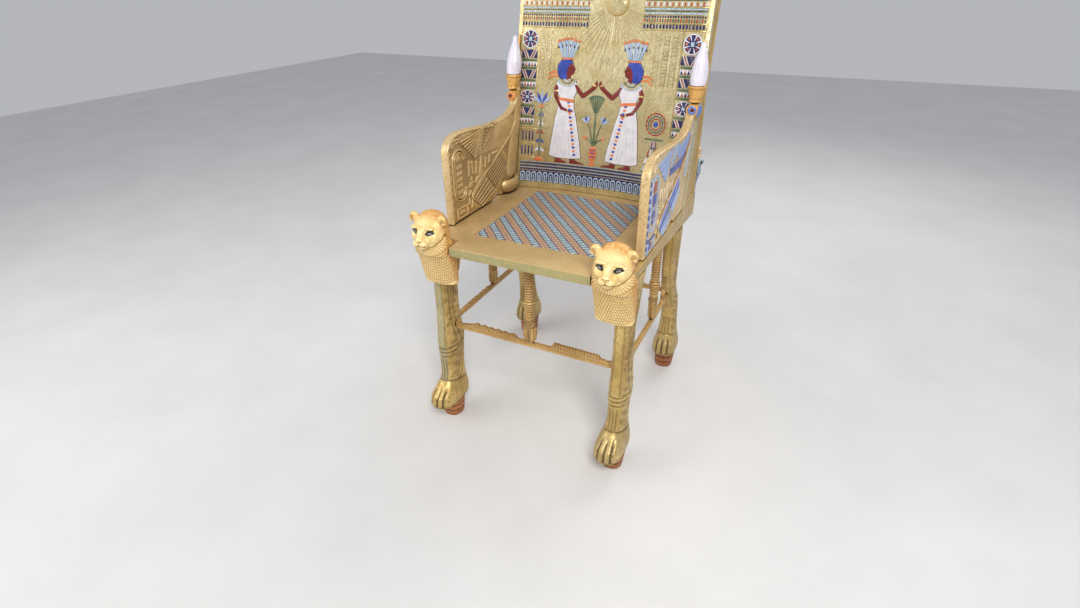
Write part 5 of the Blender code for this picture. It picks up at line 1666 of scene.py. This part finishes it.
def seat_pattern():
    """Diagonal rows of pale and rosy squares, edged in navy, with gold between."""
    finish, tree, shader, place = new_finish("seat inlay")
    turned = tree.nodes.new("ShaderNodeMapping")
    turned.inputs["Rotation"].default_value = (0.0, 0.0, math.radians(47.5))
    tree.links.new(place, turned.inputs["Vector"])
    split = tree.nodes.new("ShaderNodeSeparateXYZ")
    tree.links.new(turned.outputs["Vector"], split.inputs["Vector"])
    across = sum_of(tree, "FRACT", sum_of(tree, "MULTIPLY", split.outputs["Y"], 1.0 / ROW_PITCH))
    along = sum_of(tree, "FRACT", sum_of(tree, "MULTIPLY", split.outputs["X"], 1.0 / SQUARE_PITCH))
    dark = (0.022, 0.035, 0.085)
    gold = (0.52, 0.38, 0.17)
    cloud = noise_of(tree, place, 240.0, 3.0, 0.6)
    pale = ramp_of(tree, cloud, ((0.38, (0.2, 0.33, 0.42)), (0.6, (0.52, 0.63, 0.66))))
    rosy = ramp_of(tree, cloud, ((0.38, (0.42, 0.2, 0.18)), (0.6, (0.66, 0.4, 0.34))))
    kinds = tree.nodes.new("ShaderNodeSeparateColor")
    tree.links.new(ramp_of(tree, across, SEAT_ROWS, True), kinds.inputs["Color"])
    bar = sum_of(tree, "GREATER_THAN", along, 0.76)
    colour = mix_of(tree, kinds.outputs["Green"], gold, mix_of(tree, bar, pale, dark))
    colour = mix_of(tree, kinds.outputs["Blue"], colour, mix_of(tree, bar, rosy, (0.25, 0.1, 0.09)))
    colour = mix_of(tree, kinds.outputs["Red"], colour, dark)
    tree.links.new(colour, shader.inputs["Base Color"])
    shader.inputs["Roughness"].default_value = 0.38
    dip = sum_of(tree, "MAXIMUM", kinds.outputs["Red"], sum_of(tree, "MULTIPLY", bar, kinds.outputs["Green"]))
    bump_of(tree, shader, ((sum_of(tree, "SUBTRACT", 1.0, dip), 0.5, 0.0004), (cloud, 0.25, 0.0003)))
    return finish

def build_seat():
    plate = copy_of("seat_inlay", "seat_inlay_squares")
    dress(plate, seat_pattern())
    soften(plate, 0.0006, 2)
    seat_on_frame(plate, "seat_inlay", "seat_inlay")
    board = copy_of("seat_board", "seat_board_gilded")
    soften(board, 0.002, 3, 30)
    smooth(board, 40)
    places = points_of(board)
    set_shade(board, "tone", (places[:, 1] < FRONT_Y + 0.0004) * (places[:, 2] < SEAT_TOP - 0.0012))
    dress(board, seat_gold)
    seat_on_frame(board, "gilded_wood", "seat_board")
    for edge, steps, names in (
        (0.0016, 3, ("seat_rail_left", "seat_rail_right", "seat_rail_rear", "top_rail", "rear_strut")),
        (0.001, 2, ("back_stile_left", "back_stile_right")),
    ):
        for node in names:
            rail = copy_of(node, node + "_gilded")
            soften(rail, edge, steps, 30)
            smooth(rail, 40)
            dress(rail, rail_gold)
            seat_on_frame(rail, "gilded_wood", node)

# Camera and room

CAMERA_LENS = 19.2475
CAMERA_PLACE = (0.5398, -0.9691, 1.0557)
CAMERA_YAW = 0.4625
CAMERA_PITCH = 0.5269
CAMERA_ROLL = -0.0167

def build_room():
    camera_data = bpy.data.cameras.new("photo camera")
    camera_data.sensor_width = 36.0
    camera_data.lens = CAMERA_LENS
    camera_data.clip_start = 0.05
    camera = bpy.data.objects.new("photo camera", camera_data)
    bpy.context.scene.collection.objects.link(camera)
    bpy.context.scene.camera = camera
    yaw, pitch, roll = CAMERA_YAW, CAMERA_PITCH, CAMERA_ROLL
    ahead = Vector((-math.sin(yaw) * math.cos(pitch), math.cos(yaw) * math.cos(pitch), -math.sin(pitch)))
    level = Vector((math.cos(yaw), math.sin(yaw), 0.0))
    upward = level.cross(ahead)
    right = math.cos(roll) * level + math.sin(roll) * upward
    top = -math.sin(roll) * level + math.cos(roll) * upward
    turn = Matrix((right, top, -ahead)).transposed()
    x, y, z = CAMERA_PLACE
    camera.matrix_world = Matrix.Translation((x, y + FRONT_Y, z)) @ turn.to_4x4()

    bpy.ops.mesh.primitive_plane_add(size=12.0, location=(0.0, 0.0, 0.0))
    floor = bpy.context.object
    floor.name = "floor"
    finish, tree, shader, place = new_finish("pale floor")
    tree.links.new(ramp_of(tree, noise_of(tree, place, 3.0),
                           ((0.3, (0.66, 0.66, 0.66)), (0.7, (0.72, 0.72, 0.72)))),
                   shader.inputs["Base Color"])
    shader.inputs["Roughness"].default_value = 0.75
    floor.data.materials.append(finish)

    world = bpy.data.worlds.new("studio")
    world.use_nodes = True
    world.node_tree.nodes["Background"].inputs["Color"].default_value = (0.92, 0.94, 1.0, 1.0)
    world.node_tree.nodes["Background"].inputs["Strength"].default_value = 0.5
    bpy.context.scene.world = world
    bpy.context.scene.view_settings.view_transform = "Standard"
    for name, place, aim, power, size in (
        ("key", (1.3, -2.1, 2.6), (0.0, 0.0, 0.5), 74.0, 1.0),
        ("fill", (-2.0, -1.6, 1.7), (0.0, 0.0, 0.5), 26.0, 1.8),
        ("rim", (0.6, 2.0, 2.2), (0.0, 0.0, 0.6), 22.0, 1.4),
    ):
        light_data = bpy.data.lights.new(name, "AREA")
        light_data.energy = power
        light_data.size = size
        light_data.color = (1.0, 0.97, 0.92)
        light = bpy.data.objects.new(name, light_data)
        bpy.context.scene.collection.objects.link(light)
        light.location = place
        light.rotation_euler = (Vector(aim) - Vector(place)).to_track_quat("-Z", "Y").to_euler()


deselect()
build_room()
build_back()
build_heads()
build_arms()
build_legs()
build_drums()
build_uprights()
build_stretchers()
build_crowns()
build_cobras()
build_seat()
